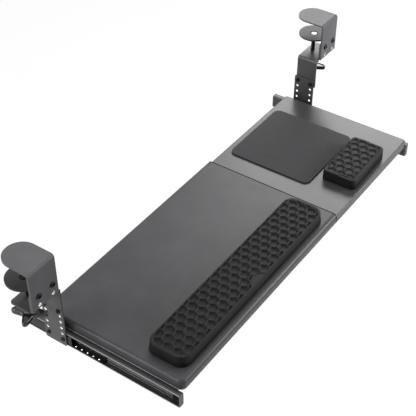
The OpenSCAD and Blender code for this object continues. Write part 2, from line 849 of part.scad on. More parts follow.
module knob(turn) {
    color(black_colour) translate([spindle_x, spindle_y, knob_base]) rotate(turn) difference() {
        union() {
            cylinder(h = knob_h + knob_skirt_h, r = knob_hub_r);
            linear_extrude(knob_h) knob_outline(knob_lobe_r - 1, knob_hub_r);
            translate([0, 0, cut]) linear_extrude(knob_h - 2 * cut)
                knob_outline(knob_lobe_r, knob_hub_r);
        }
        translate([0, 0, knob_skirt_h]) cylinder(h = knob_h + knob_skirt_h, d = spindle_d);
    }
}

// How far a rounded corner draws a side in, at a distance from the end
function corner_in(distance, r) =
    distance >= r ? 0 : r - sqrt(r * r - (r - distance) * (r - distance));

// Where the rings of a wrist rest stand: close together at its round ends, and on the
// lattice between them
function rest_stations(length, columns) = concat(
    [for (part = rest_end_parts) part * length / columns],
    [for (i = [1 : columns - 1]) i * length / columns],
    [for (i = [len(rest_end_parts) - 1 : -1 : 0]) length - rest_end_parts[i] * length / columns]
);

// One ring of points round a wrist rest: the rows of the top, then the sides and the base
function rest_ring(i, columns, rows, length, depth, height) =
    let (
        column = i - len(rest_end_parts) + 1,
        x = rest_stations(length, columns)[i],
        from_end = min(x, length - x),
        half = depth / 2 - corner_in(from_end + rest_tip, rest_corner_r),
        top_z = height - corner_in(from_end, rest_top_r),
        flat = half - min(rest_rim, half / 4),
        stagger = column > 1 && column < columns - 2 ? length / columns / 2 : 0
    )
    concat(
        [for (j = [0 : rows]) [
            x + (j % 2) * stagger,
            -flat + 2 * flat * j / rows,
            top_z - (is_cell(column, j, columns, rows) ? cell_depth : 0)
                - rest_crown * pow(2 * j / rows - 1, 2)
        ]],
        [[x, half - rest_side_in, top_z - rest_top_r * 0.6],
            [x, half, top_z - rest_top_r * 1.3],
            [x, half - rest_side_in, 0],
            [x, -half + rest_side_in, 0],
            [x, -half, top_z - rest_top_r * 1.3],
            [x, -half + rest_side_in, top_z - rest_top_r * 0.6]]
    );

// Whether a lattice point is the middle of a cell
function is_cell(column, j, columns, rows) =
    j > 0 && j < rows && column > 1 && column < columns - 2
        && (column - (j - j % 2) / 2 + 2 * j) % 3 == 0;

// Triangles between two rings, with the diagonal that keeps the cells six-sided
function rest_faces(last, rows, ring) = concat(
    [for (i = [0 : last - 1], k = [0 : ring - 1])
        let (
            a = i * ring + k,
            b = i * ring + (k + 1) % ring,
            c = a + ring,
            d = b + ring
        )
        each (k % 2 == 0 && k < rows ? [[a, b, c], [c, b, d]] : [[a, b, d], [a, d, c]])],
    [for (k = [1 : ring - 2]) [0, k + 1, k]],
    [for (k = [1 : ring - 2]) [0, k, k + 1] + [1, 1, 1] * last * ring]
);

// Moulded wrist rest with its corner at the origin, in honeycomb relief
module rest(length, depth, height) {
    columns = round(length / lattice);
    rows = 2 * round((depth - 2 * rest_rim) / row_step / 2);
    ring = rows + 7;
    last = len(rest_stations(length, columns)) - 1;
    points = [for (i = [0 : last]) each rest_ring(i, columns, rows, length, depth, height)];
    translate([0, depth / 2, 0]) polyhedron(points, rest_faces(last, rows, ring));
}

module keyboard_wrist_rest() {
    color(black_colour) translate([keyboard_rest_x, keyboard_rest_y, 0])
        rest(keyboard_rest_l, keyboard_rest_d, keyboard_rest_h);
}

module mouse_wrist_rest() {
    color(black_colour) translate([tray_w - mouse_rest_x, mouse_rest_y, -mouse_panel_drop])
        rotate(mouse_rest_turn) translate([-mouse_rest_l / 2, -mouse_rest_d / 2, 0])
            rest(mouse_rest_l, mouse_rest_d, mouse_rest_h);
}

module mouse_pad() {
    color(pad_colour) translate([tray_w - pad_x - pad_w, pad_y, -mouse_panel_drop])
        linear_extrude(pad_t) rounded_rect(pad_w, pad_d, pad_corner_r);
}

// The two ends' sub-parts
module left_carrier() {
    carrier(-panel_wall, keyboard_corner_r, keyboard_edge_r - panel_wall);
}
module left_carrier_screws() {
    carrier_screws(keyboard_corner_r);
}
module left_carrier_nuts() {
    carrier_nuts(-panel_wall, keyboard_corner_r);
}
module left_slide_outer() {
    slide_outer(keyboard_corner_r);
}
module right_carrier() {
    right_end() carrier(mouse_skin_z, mouse_corner_r, carrier_t + mouse_edge_r / 4);
}
module right_carrier_screws() {
    right_end() carrier_screws(mouse_corner_r);
}
module right_carrier_nuts() {
    right_end() carrier_nuts(mouse_skin_z, mouse_corner_r);
}
module right_slide_outer() {
    right_end() slide_outer(mouse_corner_r);
}

place() left_panel();
place() right_panel();
place() front_guide();
place() back_guide();
place() guide_nuts();
place() front_runner();
place() back_runner();
place() runner_nuts();
place() left_carrier();
place() left_carrier_screws();
place() left_carrier_nuts();
place() left_slide_outer();
place() bumper();  // left_bumper
place() ball_cage();  // left_ball_cage
place() balls();  // left_balls
place() slide_inner();  // left_slide_inner
place() slide_screws();  // left_slide_screws
place() hanger();  // left_hanger
place() hanger_bolts();  // left_hanger_bolts
place() hanger_nuts();  // left_hanger_nuts
place() clamp_bracket(1);  // left_clamp_bracket
place() spindle_nut();  // left_spindle_nut
place() hook(1);  // left_hook
place() hook_screws(1);  // left_hook_screws
place() hook_nuts(1);  // left_hook_nuts
place() spindle();  // left_spindle
place() knob(left_knob_turn);  // left_knob
place() disc();  // left_disc
place() right_carrier();
place() right_carrier_screws();
place() right_carrier_nuts();
place() right_slide_outer();
place() right_end() bumper();  // right_bumper
place() right_end() ball_cage();  // right_ball_cage
place() right_end() balls();  // right_balls
place() right_end() slide_inner();  // right_slide_inner
place() right_end() slide_screws();  // right_slide_screws
place() right_end() hanger();  // right_hanger
place() right_end() hanger_bolts();  // right_hanger_bolts
place() right_end() hanger_nuts();  // right_hanger_nuts
place() right_end() clamp_bracket(-1);  // right_clamp_bracket
place() right_end() spindle_nut();  // right_spindle_nut
place() right_end() hook(-1);  // right_hook
place() right_end() hook_screws(-1);  // right_hook_screws
place() right_end() hook_nuts(-1);  // right_hook_nuts
place() right_end() spindle();  // right_spindle
place() right_end() knob(right_knob_turn);  // right_knob
place() right_end() disc();  // right_disc
place() keyboard_wrist_rest();
place() mouse_wrist_rest();
place() mouse_pad();
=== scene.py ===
"""Dresses the clamp-on keyboard tray for its picture: two nested steel panels on ball
slides and C-clamps, with honeycomb wrist rests and a mouse pad."""
import json
import logging
import math
from dataclasses import dataclass, field
from enum import Enum

import bmesh
import bpy
from mathutils import Matrix, Vector


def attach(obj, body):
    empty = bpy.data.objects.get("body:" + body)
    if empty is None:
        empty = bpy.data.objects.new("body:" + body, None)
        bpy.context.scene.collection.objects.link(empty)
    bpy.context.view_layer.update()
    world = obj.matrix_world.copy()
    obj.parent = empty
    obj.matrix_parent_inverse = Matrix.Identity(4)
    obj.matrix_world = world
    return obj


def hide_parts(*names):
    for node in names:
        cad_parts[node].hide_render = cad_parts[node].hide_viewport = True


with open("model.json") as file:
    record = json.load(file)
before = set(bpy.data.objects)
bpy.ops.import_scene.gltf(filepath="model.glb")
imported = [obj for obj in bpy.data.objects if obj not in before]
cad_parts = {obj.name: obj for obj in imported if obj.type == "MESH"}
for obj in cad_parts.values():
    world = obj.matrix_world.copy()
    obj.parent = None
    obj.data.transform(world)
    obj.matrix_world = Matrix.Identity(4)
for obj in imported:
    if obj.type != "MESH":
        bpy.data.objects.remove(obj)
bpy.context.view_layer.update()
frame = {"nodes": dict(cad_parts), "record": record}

LOG = logging.getLogger("keyboard_tray")
Pair = tuple[float, float]
Point = tuple[float, float, float]
MM = 0.001
# The tray's width, and how far the desk's top edge lies back of the tray's front edge and
# above the keyboard panel's top, in mm
TRAY_W = 747.0
EDGE_Y = 217.0
DESK_Z = 159.0
# Height of the mouse panel's top against the keyboard panel's, in mm
MOUSE_PANEL_Z = -7.0
# Rounding of cut and bent sheet edges after coating, by the end of the node's name
EDGE_MM = {"_hook": 0.5, "_clamp_bracket": 0.45, "_hanger": 0.35, "_disc": 0.5,
           "_slide_outer": 0.25, "_spindle_nut": 0.5}
# Length of one band of Blender's wave texture at a scale of 1
BAND = 0.32
# Cosine of 30 degrees, between the flats and the corners of a six-sided cell
HEX = 0.866
UP = Vector((0, 0, 1))
FRONT = Vector((0, -1, 0))


class Side(Enum):
    """The tray's two ends, with the sign of the way out from the tray."""

    LEFT = -1
    RIGHT = 1

    @property
    def tag(self) -> str:
        """Word that starts the names of this end's pieces."""
        return self.name.lower()

    def across(self, x: float) -> float:
        """Mirrors a place of the left end to this end, in mm of the tray."""
        return x if self is Side.LEFT else TRAY_W - x


def at(x: float, y: float, z: float) -> Vector:
    """Turns a place in the tray's own frame to the part's frame.

    Args:
        x: Distance from the tray's left end, in mm.
        y: Distance back from its front edge, in mm.
        z: Height above the keyboard panel's top, in mm.

    Returns:
        The place in metres, counted from the desk's top edge.
    """
    return Vector((x - TRAY_W / 2, y - EDGE_Y, z - DESK_Z)) * MM


def unit(value: float) -> float:
    """Holds a value between 0 and 1."""
    return min(max(value, 0.0), 1.0)


def linear(hex_code: str) -> tuple[float, float, float, float]:
    """Turns an sRGB hex colour to Blender's linear values.

    Args:
        hex_code: Six hex digits, with or without a leading #.

    Returns:
        Linear red, green, blue and an alpha of 1.
    """
    digits = hex_code.lstrip("#")
    parts = [int(digits[i:i + 2], 16) / 255 for i in (0, 2, 4)]
    return (*[c / 12.92 if c <= 0.04045 else ((c + 0.055) / 1.055) ** 2.4 for c in parts], 1.0)


def add_node(tree: bpy.types.NodeTree, kind: str, settings: dict | None = None,
             links: dict | None = None) -> bpy.types.Node:
    """Adds one node with its settings and links.

    Args:
        tree: Node tree to add to.
        kind: Blender's name of the node's type.
        settings: Attribute or input names with their values; "stops" holds the places and
            linear colours of a colour ramp's two marks.
        links: Input names with the output sockets that feed them.

    Returns:
        The new node.
    """
    node = tree.nodes.new(kind)
    for key, value in (settings or {}).items():
        if key == "stops":
            for mark, (place, colour) in zip(node.color_ramp.elements, value):
                mark.position, mark.color = place, colour
        elif isinstance(key, int) or key in node.inputs:
            node.inputs[key].default_value = value
        else:
            setattr(node, key, value)
    for key, socket in (links or {}).items():
        tree.links.new(socket, node.inputs[key])
    return node


def fresh(name: str) -> tuple[bpy.types.Material, bpy.types.NodeTree, bpy.types.Node,
                              bpy.types.NodeSocket]:
    """Starts a material.

    Args:
        name: The material's name.

    Returns:
        The material, its tree, its shader and the piece's own coordinates in metres.
    """
    material = bpy.data.materials.new(name)
    material.use_nodes = True
    tree = material.node_tree
    shader = tree.nodes["Principled BSDF"]
    place = add_node(tree, "ShaderNodeTexCoord").outputs["Object"]
    return material, tree, shader, place


@dataclass(frozen=True)
class Finish:
    """What every finish has: its name, and its darkest and lightest colour."""

    name: str
    dark: str
    light: str

    def skin(self, tree: bpy.types.NodeTree, shader: bpy.types.Node,
             tone: tuple[bpy.types.NodeSocket, float, float],
             relief: tuple[bpy.types.NodeSocket, float, float],
             gloss: tuple[bpy.types.NodeSocket, float, float] | None = None) -> None:
        """Wires the finish's colours, relief and gloss to its shader.

        Args:
            tree: The material's node tree.
            shader: Its shader.
            tone: Socket that the colour follows, and where on it the two colours stand.
            relief: Socket that the height follows, its strength and its depth in mm.
            gloss: Socket that the roughness follows, and its ends; none if it is even.
        """
        drive, low, high = tone
        colour = add_node(tree, "ShaderNodeValToRGB",
                          {"stops": [(low, linear(self.dark)), (high, linear(self.light))]},
                          {"Fac": drive})
        tree.links.new(colour.outputs["Color"], shader.inputs["Base Color"])
        if gloss:
            drive, low, high = gloss
            span = add_node(tree, "ShaderNodeMapRange", {"To Min": low, "To Max": high},
                            {"Value": drive})
            tree.links.new(span.outputs["Result"], shader.inputs["Roughness"])
        height, strength, depth_mm = relief
        bump = add_node(tree, "ShaderNodeBump",
                        {"Strength": strength, "Distance": depth_mm * MM}, {"Height": height})
        tree.links.new(bump.outputs["Normal"], shader.inputs["Normal"])


@dataclass(frozen=True)
class PowderCoat(Finish):
    """Baked polyester powder on sheet steel.

    Its fine pebbled skin scatters the light, so edges glow softly and flats stay matt. Real
    pebbles are some tenths of a millimetre wide; they are drawn about 1 mm wide, to show.
    """

    roughness: float = 0.42
    grain_mm: float = 1.1
    mottle_mm: float = 45.0
    bump: float = 0.22
    specular: float = 0.5
    grain_share: float = 0.35
    pebble_mm: float = 0.05
    spread: Pair = (-0.05, 0.06)

    def material(self) -> bpy.types.Material:
        """Builds the coat: cloudy colour, pebbled bump and a little uneven gloss.

        Returns:
            The coat's material.
        """
        material, tree, shader, place = fresh(self.name)
        cloud = add_node(tree, "ShaderNodeTexNoise",
                         {"Scale": 1 / (self.mottle_mm * MM), "Detail": 3.0},
                         {"Vector": place})
        grain = add_node(tree, "ShaderNodeTexNoise",
                         {"Scale": 1 / (self.grain_mm * MM), "Detail": 2.0},
                         {"Vector": place})
        mottle = add_node(tree, "ShaderNodeMath",
                          {"operation": "MULTIPLY", 1: 1 - self.grain_share},
                          {0: cloud.outputs["Fac"]})
        blend = add_node(tree, "ShaderNodeMath",
                         {"operation": "MULTIPLY_ADD", 1: self.grain_share},
                         {0: grain.outputs["Fac"], 2: mottle.outputs[0]})
        low, high = self.spread
        self.skin(tree, shader, tone=(blend.outputs[0], 0.3, 0.7),
                  relief=(grain.outputs["Fac"], self.bump, self.pebble_mm),
                  gloss=(grain.outputs["Fac"], self.roughness + low, self.roughness + high))
        shader.inputs["Specular IOR Level"].default_value = self.specular
        return material


@dataclass(frozen=True)
class Steel(Finish):
    """Bare, plated or blackened steel, drawn or turned along one axis.

    Fine draw marks stretch the highlights along the part.
    """

    roughness: float = 0.3
    streak_mm: float = 0.35
    stretch: Point = (1.0, 0.06, 1.0)
    metallic: float = 1.0
    bump: float = 0.15
    mark_mm: float = 0.02
    spread: Pair = (-0.06, 0.08)

    def material(self) -> bpy.types.Material:
        """Builds the metal: streaked colour, uneven gloss and shallow draw marks.

        Returns:
            The metal's material.
        """
        material, tree, shader, place = fresh(self.name)
        squeeze = add_node(tree, "ShaderNodeMapping", {"Scale": self.stretch},
                           {"Vector": place})
        streak = add_node(tree, "ShaderNodeTexNoise",
                          {"Scale": 1 / (self.streak_mm * MM), "Detail": 2.0},
                          {"Vector": squeeze.outputs["Vector"]})
        fac = streak.outputs["Fac"]
        low, high = self.spread
        self.skin(tree, shader, tone=(fac, 0.35, 0.65),
                  relief=(fac, self.bump, self.mark_mm),
                  gloss=(fac, self.roughness + low, self.roughness + high))
        shader.inputs["Metallic"].default_value = self.metallic
        return material


@dataclass(frozen=True)
class Polymer(Finish):
    """Moulded plastic, rubber or soft skin.

    The mould's fine grain breaks up the gloss, and a little oil and dust vary it.
    """

    roughness: float
    grain_mm: float = 0.9
    bump: float = 0.3
    coat: float = 0.0
    ior: float = 1.5
    drift_mm: float = 30.0
    pit_mm: float = 0.04
    spread: Pair = (-0.05, 0.05)

    def material(self) -> bpy.types.Material:
        """Builds the polymer: grain from small pits, with gloss that drifts slowly.

        Returns:
            The polymer's material.
        """
        material, tree, shader, place = fresh(self.name)
        pits = add_node(tree, "ShaderNodeTexVoronoi", {"Scale": 1 / (self.grain_mm * MM)},
                        {"Vector": place})
        drift = add_node(tree, "ShaderNodeTexNoise",
                         {"Scale": 1 / (self.drift_mm * MM), "Detail": 4.0},
                         {"Vector": place})
        fac = drift.outputs["Fac"]
        low, high = self.spread
        self.skin(tree, shader, tone=(fac, 0.3, 0.7),
                  relief=(pits.outputs["Distance"], self.bump, self.pit_mm),
                  gloss=(fac, self.roughness + low, self.roughness + high))
        shader.inputs["Coat Weight"].default_value = self.coat
        shader.inputs["IOR"].default_value = self.ior
        return material


@dataclass(frozen=True)
class Jersey(Finish):
    """Knitted polyester face of a mouse pad.

    The threads stand 0.5 mm apart on the real pad and are drawn 1.6 mm apart, because
    finer ones would not show; the nap gives a dull, soft sheen.
    """

    thread_mm: float = 1.6
    nap_mm: float = 9.0
    weave_mm: float = 0.15
    bump: float = 0.5
    roughness: float = 0.9
    sheen: float = 0.05

    def material(self) -> bpy.types.Material:
        """Builds the cloth: two crossed thread waves under a soft nap.

        Returns:
            The cloth's material.
        """
        material, tree, shader, place = fresh(self.name)
        waves = []
        for direction in ("X", "Y"):
            wave = add_node(tree, "ShaderNodeTexWave",
                            {"bands_direction": direction, "Scale": BAND / (self.thread_mm * MM),
                             "Distortion": 0.6, "Detail": 1.0}, {"Vector": place})
            waves.append(wave.outputs["Fac"])
        weave = add_node(tree, "ShaderNodeMath", {"operation": "MULTIPLY"},
                         {0: waves[0], 1: waves[1]})
        nap = add_node(tree, "ShaderNodeTexNoise",
                       {"Scale": 1 / (self.nap_mm * MM), "Detail": 4.0}, {"Vector": place})
        mixed = add_node(tree, "ShaderNodeMath", {"operation": "ADD"},
                         {0: weave.outputs[0], 1: nap.outputs["Fac"]})
        self.skin(tree, shader, tone=(mixed.outputs[0], 0.3, 1.0),
                  relief=(weave.outputs[0], self.bump, self.weave_mm))
        shader.inputs["Roughness"].default_value = self.roughness
        shader.inputs["Sheen Weight"].default_value = self.sheen
        return material


def finishes() -> dict[str, bpy.types.Material]:
    """Builds every finish of the tray.

    Returns:
        Materials by the record's slot names, with a few that only small pieces wear.
    """
    coats = {
        # Both panels wear one charcoal powder, dull and even; the mouse panel's is smoother
        # and shines more
        "keyboard_panel_steel": PowderCoat("powder_coat_charcoal", "#353537", "#3f3f41",
                                           roughness=0.38, bump=0.15, specular=0.21),
        "mouse_panel_steel": PowderCoat("powder_coat_graphite", "#353537", "#3e3e40",
                                        roughness=0.32, bump=0.1, specular=0.3),
        # Dip and slide coats are thin black films, darker than the powder
        "rail_steel": PowderCoat("black_dip_coat", "#1c1c1d", "#262627", roughness=0.4),
        "slide_steel": PowderCoat("black_slide_coat", "#262628", "#313133", roughness=0.4,
                                  grain_mm=0.8),
        # The bracket's powder is coarse and grainy, the hook's and the disc's smooth; the
        # hook's is greyer, which keeps its flat faces pale under the lamps
        "bracket_steel": PowderCoat("powder_coat_bracket", "#313132", "#3d3d3e",
                                    grain_mm=1.4, bump=0.4),
        "hook_steel": PowderCoat("powder_coat_hook", "#4c4c4e", "#565658", roughness=0.42,
                                 bump=0.12, specular=0.17),
        "disc_steel": PowderCoat("powder_coat_disc", "#2c2c2d", "#363637", roughness=0.42,
                                 specular=0.2),
        # Zinc plate is cold and bright; black oxide and blackened strip gleam only on edges
        "zinc_steel": Steel("bright_zinc_plate", "#8f9297", "#c4c6ca", roughness=0.32),
        "black_steel": Steel("black_oxide_steel", "#0c0c0d", "#1a1a1b", roughness=0.42,
                             metallic=0.6),
        "cage_steel": Steel("blackened_strip_steel", "#141415", "#2a2a2c", roughness=0.34,
                            metallic=0.7),
        # Polished balls are small mirrors, the brightest points of the slides
        "ball_steel": Steel("polished_bearing_steel", "#e8e9ec", "#f6f6f8", roughness=0.1,
                            bump=0.0),
        # A rolled thread is burnished, so its crests show as fine rings of light
        "spindle_steel": Steel("black_rolled_thread", "#0d0d0e", "#1d1d1e", roughness=0.36,
                               metallic=0.7, stretch=(1.0, 1.0, 0.2)),
        # Moulded nylon takes sharp highlights, stop rubber none, and the rests' skin has a
        # satin gloss on the ribs of its cells
        "knob_plastic": Polymer("glossy_black_nylon", "#0c0c0d", "#161617", 0.24,
                                grain_mm=1.2, bump=0.08, coat=0.15),
        "stop_rubber": Polymer("black_stop_rubber", "#060606", "#0e0e0e", 0.85, ior=1.2),
        "rest_foam": Polymer("soft_moulded_skin", "#141415", "#1d1d1e", 0.46,
                             grain_mm=0.8, bump=0.25, ior=1.2),
        # The pad's woven face is flat and dull, and its foamed base is open and dry
        "pad_rubber": Jersey("charcoal_jersey", "#1f1f21", "#2b2b2d"),
        "pad_base": Polymer("foamed_rubber_base", "#161616", "#222222", 0.75,
                            grain_mm=1.5, bump=0.5),
        # The slide's ribs wear a mid grey, a lit copy of the black slide coat that paints the
        # light on them;
        # the slide's lips and the panel's hem wear a pale grey as painted highlights, and the
        # hole linings a near white that paints the light seen through the holes; the right rivet
        # wears that near white too
        "rib_painted_light": PowderCoat("rib_grey_painted_light", "#59595b", "#67676a", roughness=0.36,
                                   bump=0.05, specular=0.3),
        "painted_highlight_grey": PowderCoat("pale_painted_highlight", "#828284", "#929294", roughness=0.36,
                                 bump=0.05, specular=0.3),
        "painted_white_light": Steel("near_white_painted_light", "#f2f3f4", "#ffffff", roughness=0.4,
                             metallic=0.35),
    }
    return {slot: finish.material() for slot, finish in coats.items()}


@dataclass
class Shop:
    """Makes pieces and keeps what they share."""

    materials: dict[str, bpy.types.Material]
    made: list[str] = field(default_factory=list)
    weld: float = 1e-7
    bevel_segments: int = 2
    bevel_angle: float = 50.0

    def piece(self, name: str, mesh: bmesh.types.BMesh, body: str, slot: str,
              nodes: tuple[str, ...] = (), sharp: float = 35.0,
              wears: tuple[str, ...] = ()) -> bpy.types.Object:
        """Turns a mesh into a finished piece.

        Args:
            name: The piece's name.
            mesh: Its shape in metres of the part's frame; it is freed here.
            body: CAD body that carries it.
            slot: Material slot of the record.
            nodes: CAD nodes that the piece stands for.
            sharp: Angle in degrees above which an edge stays sharp.
            wears: Finishes by material index, when the slot's own isn't enough.

        Returns:
            The new object.
        """
        bmesh.ops.remove_doubles(mesh, verts=mesh.verts, dist=self.weld)
        bmesh.ops.recalc_face_normals(mesh, faces=mesh.faces)
        data = bpy.data.meshes.new(name)
        mesh.to_mesh(data)
        mesh.free()
        data.shade_smooth()
        data.set_sharp_from_angle(angle=math.radians(sharp))
        thing = bpy.data.objects.new(name, data)
        bpy.context.scene.collection.objects.link(thing)
        for finish in wears or (slot,):
            data.materials.append(self.materials[finish])
        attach(thing, body)
        if nodes:
            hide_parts(*nodes)
        self.made.append(name)
        LOG.info("%s rides on %s", name, body)
        return thing

    def coat_nodes(self) -> None:
        """Gives every CAD node its finish and softens the edges of the sheet metal."""
        for row in frame["record"]["subparts"]:
            node = frame["nodes"][row["node"]]
            node.data.materials.clear()
            node.data.materials.append(self.materials[row["material_slot"]])
            width = next((w for part, w in EDGE_MM.items() if row["node"].endswith(part)), 0.0)
            if width:
                edge = node.modifiers.new("soft_edges", "BEVEL")
                edge.width, edge.segments = width * MM, self.bevel_segments
                edge.limit_method = "ANGLE"
                edge.angle_limit = math.radians(self.bevel_angle)
                edge.harden_normals = True


def rings(mesh: bmesh.types.BMesh, loops: list[list[Vector]], start: bool = True,
          end: bool = True) -> None:
    """Joins closed loops of points into a skin.

    Args:
        mesh: Mesh to add to.
        loops: Loops with the same number of points, in order.
        start: Whether the first loop is closed with a face.
        end: Whether the last loop is closed with a face.
    """
    rows = [[mesh.verts.new(p) for p in loop] for loop in loops]
    count = len(rows[0])
    for low, high in zip(rows, rows[1:]):
        for i in range(count):
            j = (i + 1) % count
            mesh.faces.new((low[i], low[j], high[j], high[i]))
    if start:
        mesh.faces.new(rows[0])
    if end:
        mesh.faces.new(rows[-1])


def turned(profile: list[Pair], origin: Vector, axis: Vector, segments: int = 32,
           inner_af: float = 0.0, sockets: int = 0) -> list[list[Vector]]:
    """Loops of a turned part.

    Args:
        profile: Radius and distance along the axis of each loop, in mm.
        origin: Start of the axis, in metres.
        axis: Direction of the axis.
        segments: Points round the part.
        inner_af: Width across the flats of a hexagon socket, in mm.
        sockets: How many of the first loops follow that hexagon; their radius is a share
            of it.

    Returns:
        One loop for each profile point.
    """
    turn = axis.to_track_quat("Z", "X")
    loops = []
    for index, (radius, height) in enumerate(profile):
        loop = []
        for i in range(segments):
            angle = 2 * math.pi * i / segments
            reach = radius
            if index < sockets:
                off = (angle + math.pi / 6) % (math.pi / 3) - math.pi / 6
                reach = inner_af / 2 / math.cos(off) * radius
            point = Vector((reach * math.cos(angle), reach * math.sin(angle), height)) * MM
            loop.append(origin + turn @ point)
        loops.append(loop)
    return loops


@dataclass
class HoneycombRest:
    """A moulded wrist rest: round-edged block with sunken six-sided cells on top."""

    name: str
    corner: Point
    length: float
    depth: float
    turn: float
    body: str
    corner_r: float = 20.0
    height: float = 21.0
    top_r: float = 1.6
    lean: float = 2.2
    # Rim without cells: its width at the ends and sides, and how it narrows from the ends
    end_rim: float = 3.6
    side_rim: float = 0.5
    rim_hold: float = 1.3
    rim_run: float = 20.0
    # Cells
    column_gap: float = 15.2
    row_gap: float = 18.9
    first: Pair = (11.4, 0.8)
    rib: float = 1.5
    wall: float = 3.4
    cell_depth: float = 3.6
    fade: float = 1.4
    crown: float = 0.8
    # Smooth bay in the front edge: its middle and radius, its stretch, depth and slope
    bay: Pair | None = None
    bay_stretch: float = 1.25
    bay_depth: float = 1.2
    bay_slope: float = 1.2
    # Step along the front edge: its width, depth and slope, and the cells' fade behind it
    ledge: float = 0.0
    ledge_depth: float = 1.1
    ledge_slope: float = 0.8
    ledge_fade: float = 1.2
    foot_inset: float = 0.7
    foot_z: float = 1.2
    grid: float = 0.8
    round_steps: int = 5

    @property
    def edge(self) -> float:
        """Width of the rounded and leaning edge outside the grid, in mm."""
        return self.top_r + self.lean

    @property
    def core(self) -> Pair:
        """Corner radius of the grid, and half the depth between its corners, in mm."""
        return self.corner_r - self.edge, self.depth / 2 - self.corner_r

    def inset(self, x: float, y: float) -> float:
        """Finds the distance from a place on top in to the outline.

        Args:
            x: Distance from the rest's left end, in mm.
            y: Distance back from its long middle line, in mm.

        Returns:
            The distance in mm.
        """
        r = self.corner_r
        dx = max(r - x, x - (self.length - r), 0.0)
        dy = max(abs(y) - (self.depth / 2 - r), 0.0)
        if dx > 0 and dy > 0:
            return r - math.hypot(dx, dy)
        return min(x, self.length - x, self.depth / 2 - abs(y))

    def cell(self, x: float, y: float) -> float:
        """Finds how deep the nearest cell is at a place.

        Args:
            x: Distance from the rest's left end, in mm.
            y: Distance back from its long middle line, in mm.

        Returns:
            The depth from 0 on a rib to 1 on a cell's floor.
        """
        best = math.inf
        column = round((x - self.first[0]) / self.column_gap)
        for i in range(column - 1, column + 2):
            start = self.first[1] + (i % 2) * self.row_gap / 2
            row = round((y - start) / self.row_gap)
            u = abs(x - self.first[0] - i * self.column_gap)
            u *= HEX * self.row_gap / self.column_gap
            for j in range(row - 1, row + 2):
                v = abs(y - start - j * self.row_gap)
                best = min(best, max(v, HEX * u + 0.5 * v))
        t = unit((self.row_gap / 2 - self.rib / 2 - best) / self.wall)
        return 1 - (1 - t) ** 2

    def top(self, x: float, y: float) -> float:
        """Finds the height of the top at a place.

        Args:
            x: Distance from the rest's left end, in mm.
            y: Distance back from its long middle line, in mm.

        Returns:
            The height above the rest's base, in mm.
        """
        inset = self.inset(x, y) - self.top_r - self.lean
        height = self.height - self.crown * (2 * y / self.depth) ** 2
        near_end = unit(self.rim_hold - min(x, self.length - x) / self.rim_run)
        rim = self.side_rim + (self.end_rim - self.side_rim) * near_end
        share = unit((inset - rim) / self.fade)
        if self.bay:
            away = math.hypot((x - self.bay[0]) / self.bay_stretch,
                              y + self.depth / 2) - self.bay[1]
            share = min(share, unit(away / self.fade))
            height -= self.bay_depth * unit(-away / self.bay_slope)
        if self.ledge and y < 0:
            height -= self.ledge_depth * unit((self.ledge - inset) / self.ledge_slope)
            behind = inset - self.ledge - self.ledge_slope
            share = min(share, unit(behind / self.ledge_fade))
        return height - self.cell_depth * share * self.cell(x, y)

    def stations(self) -> list[Pair]:
        """Places the columns of the grid.

        Returns:
            Each column's distance from the grid's left end and half its depth, in mm.
        """
        core_r, core_half = self.core
        length = self.length - 2 * self.edge
        straight = length - 2 * core_r
        arc = max(4, round(core_r * math.pi / 2 / self.grid))
        middle = max(4, round(straight / self.grid))
        bend = [(core_r * (1 - math.cos(a)), core_half + core_r * math.sin(a))
                for a in (math.pi / 2 * i / arc for i in range(arc))]
        flat = [(core_r + straight * i / middle, core_half + core_r)
                for i in range(middle + 1)]
        return bend + flat + [(length - x, half) for x, half in reversed(bend)]

    def sides(self, mesh: bmesh.types.BMesh, border: list[bmesh.types.BMVert]) -> None:
        """Adds the rounded edge, the drafted sides and the base.

        Args:
            mesh: Mesh to add to.
            border: Points round the grid, in order.
        """
        core_r, core_half = self.core
        steps = self.round_steps
        # How far each ring stands out, and how far it drops or at which height it lies
        levels = [(self.top_r * math.sin(a), -self.top_r * (1 - math.cos(a)), None)
                  for a in (math.pi / 2 * k / steps for k in range(1, steps + 1))]
        levels += [(self.edge - self.lean / 2, 0.0, self.height * 0.5),
                   (self.edge, 0.0, self.foot_z), (self.edge - self.foot_inset, 0.0, 0.0)]
        last = border
        for out, drop, level in levels:
            ring = []
            for vert in border:
                x, y, z = vert.co
                mid = Vector((min(max(x, self.corner_r), self.length - self.corner_r),
                              min(max(y, -core_half), core_half), 0))
                way = (Vector((x, y, 0)) - mid).normalized()
                place = mid + way * (core_r + out)
                place.z = z + drop if level is None else level
                ring.append(mesh.verts.new(place))
            for i in range(len(ring)):
                j = (i + 1) % len(ring)
                mesh.faces.new((last[j], last[i], ring[i], ring[j]))
            last = ring
        mesh.faces.new(last)

    def mesh(self) -> bmesh.types.BMesh:
        """Builds the rest: a fine grid on top, with the sides round it.

        Returns:
            The mesh in metres, in its place on the tray.
        """
        mesh = bmesh.new()
        across = max(8, round(self.depth / self.grid))
        grid = []
        for x, half in self.stations():
            places = [(x + self.edge, -half + 2 * half * j / across) for j in range(across + 1)]
            grid.append([mesh.verts.new((*place, self.top(*place))) for place in places])
        for a, b in zip(grid, grid[1:]):
            for j in range(across):
                mesh.faces.new((a[j], b[j], b[j + 1], a[j + 1]))
        border = [column[0] for column in grid] + grid[-1][1:]
        border += [column[-1] for column in grid[-2::-1]] + grid[0][-2:0:-1]
        self.sides(mesh, border)
        move = Matrix.Translation(at(*self.corner)) @ Matrix.Rotation(
            math.radians(self.turn), 4, "Z") @ Matrix.Scale(MM, 4)
        mesh.transform(move)
        return mesh

    def build(self, shop: Shop) -> None:
        """Makes the rest, which stands for its plain CAD solid."""
        rest = shop.piece(self.name + "_cells", self.mesh(), self.body, "rest_foam",
                          (self.name,), sharp=60)


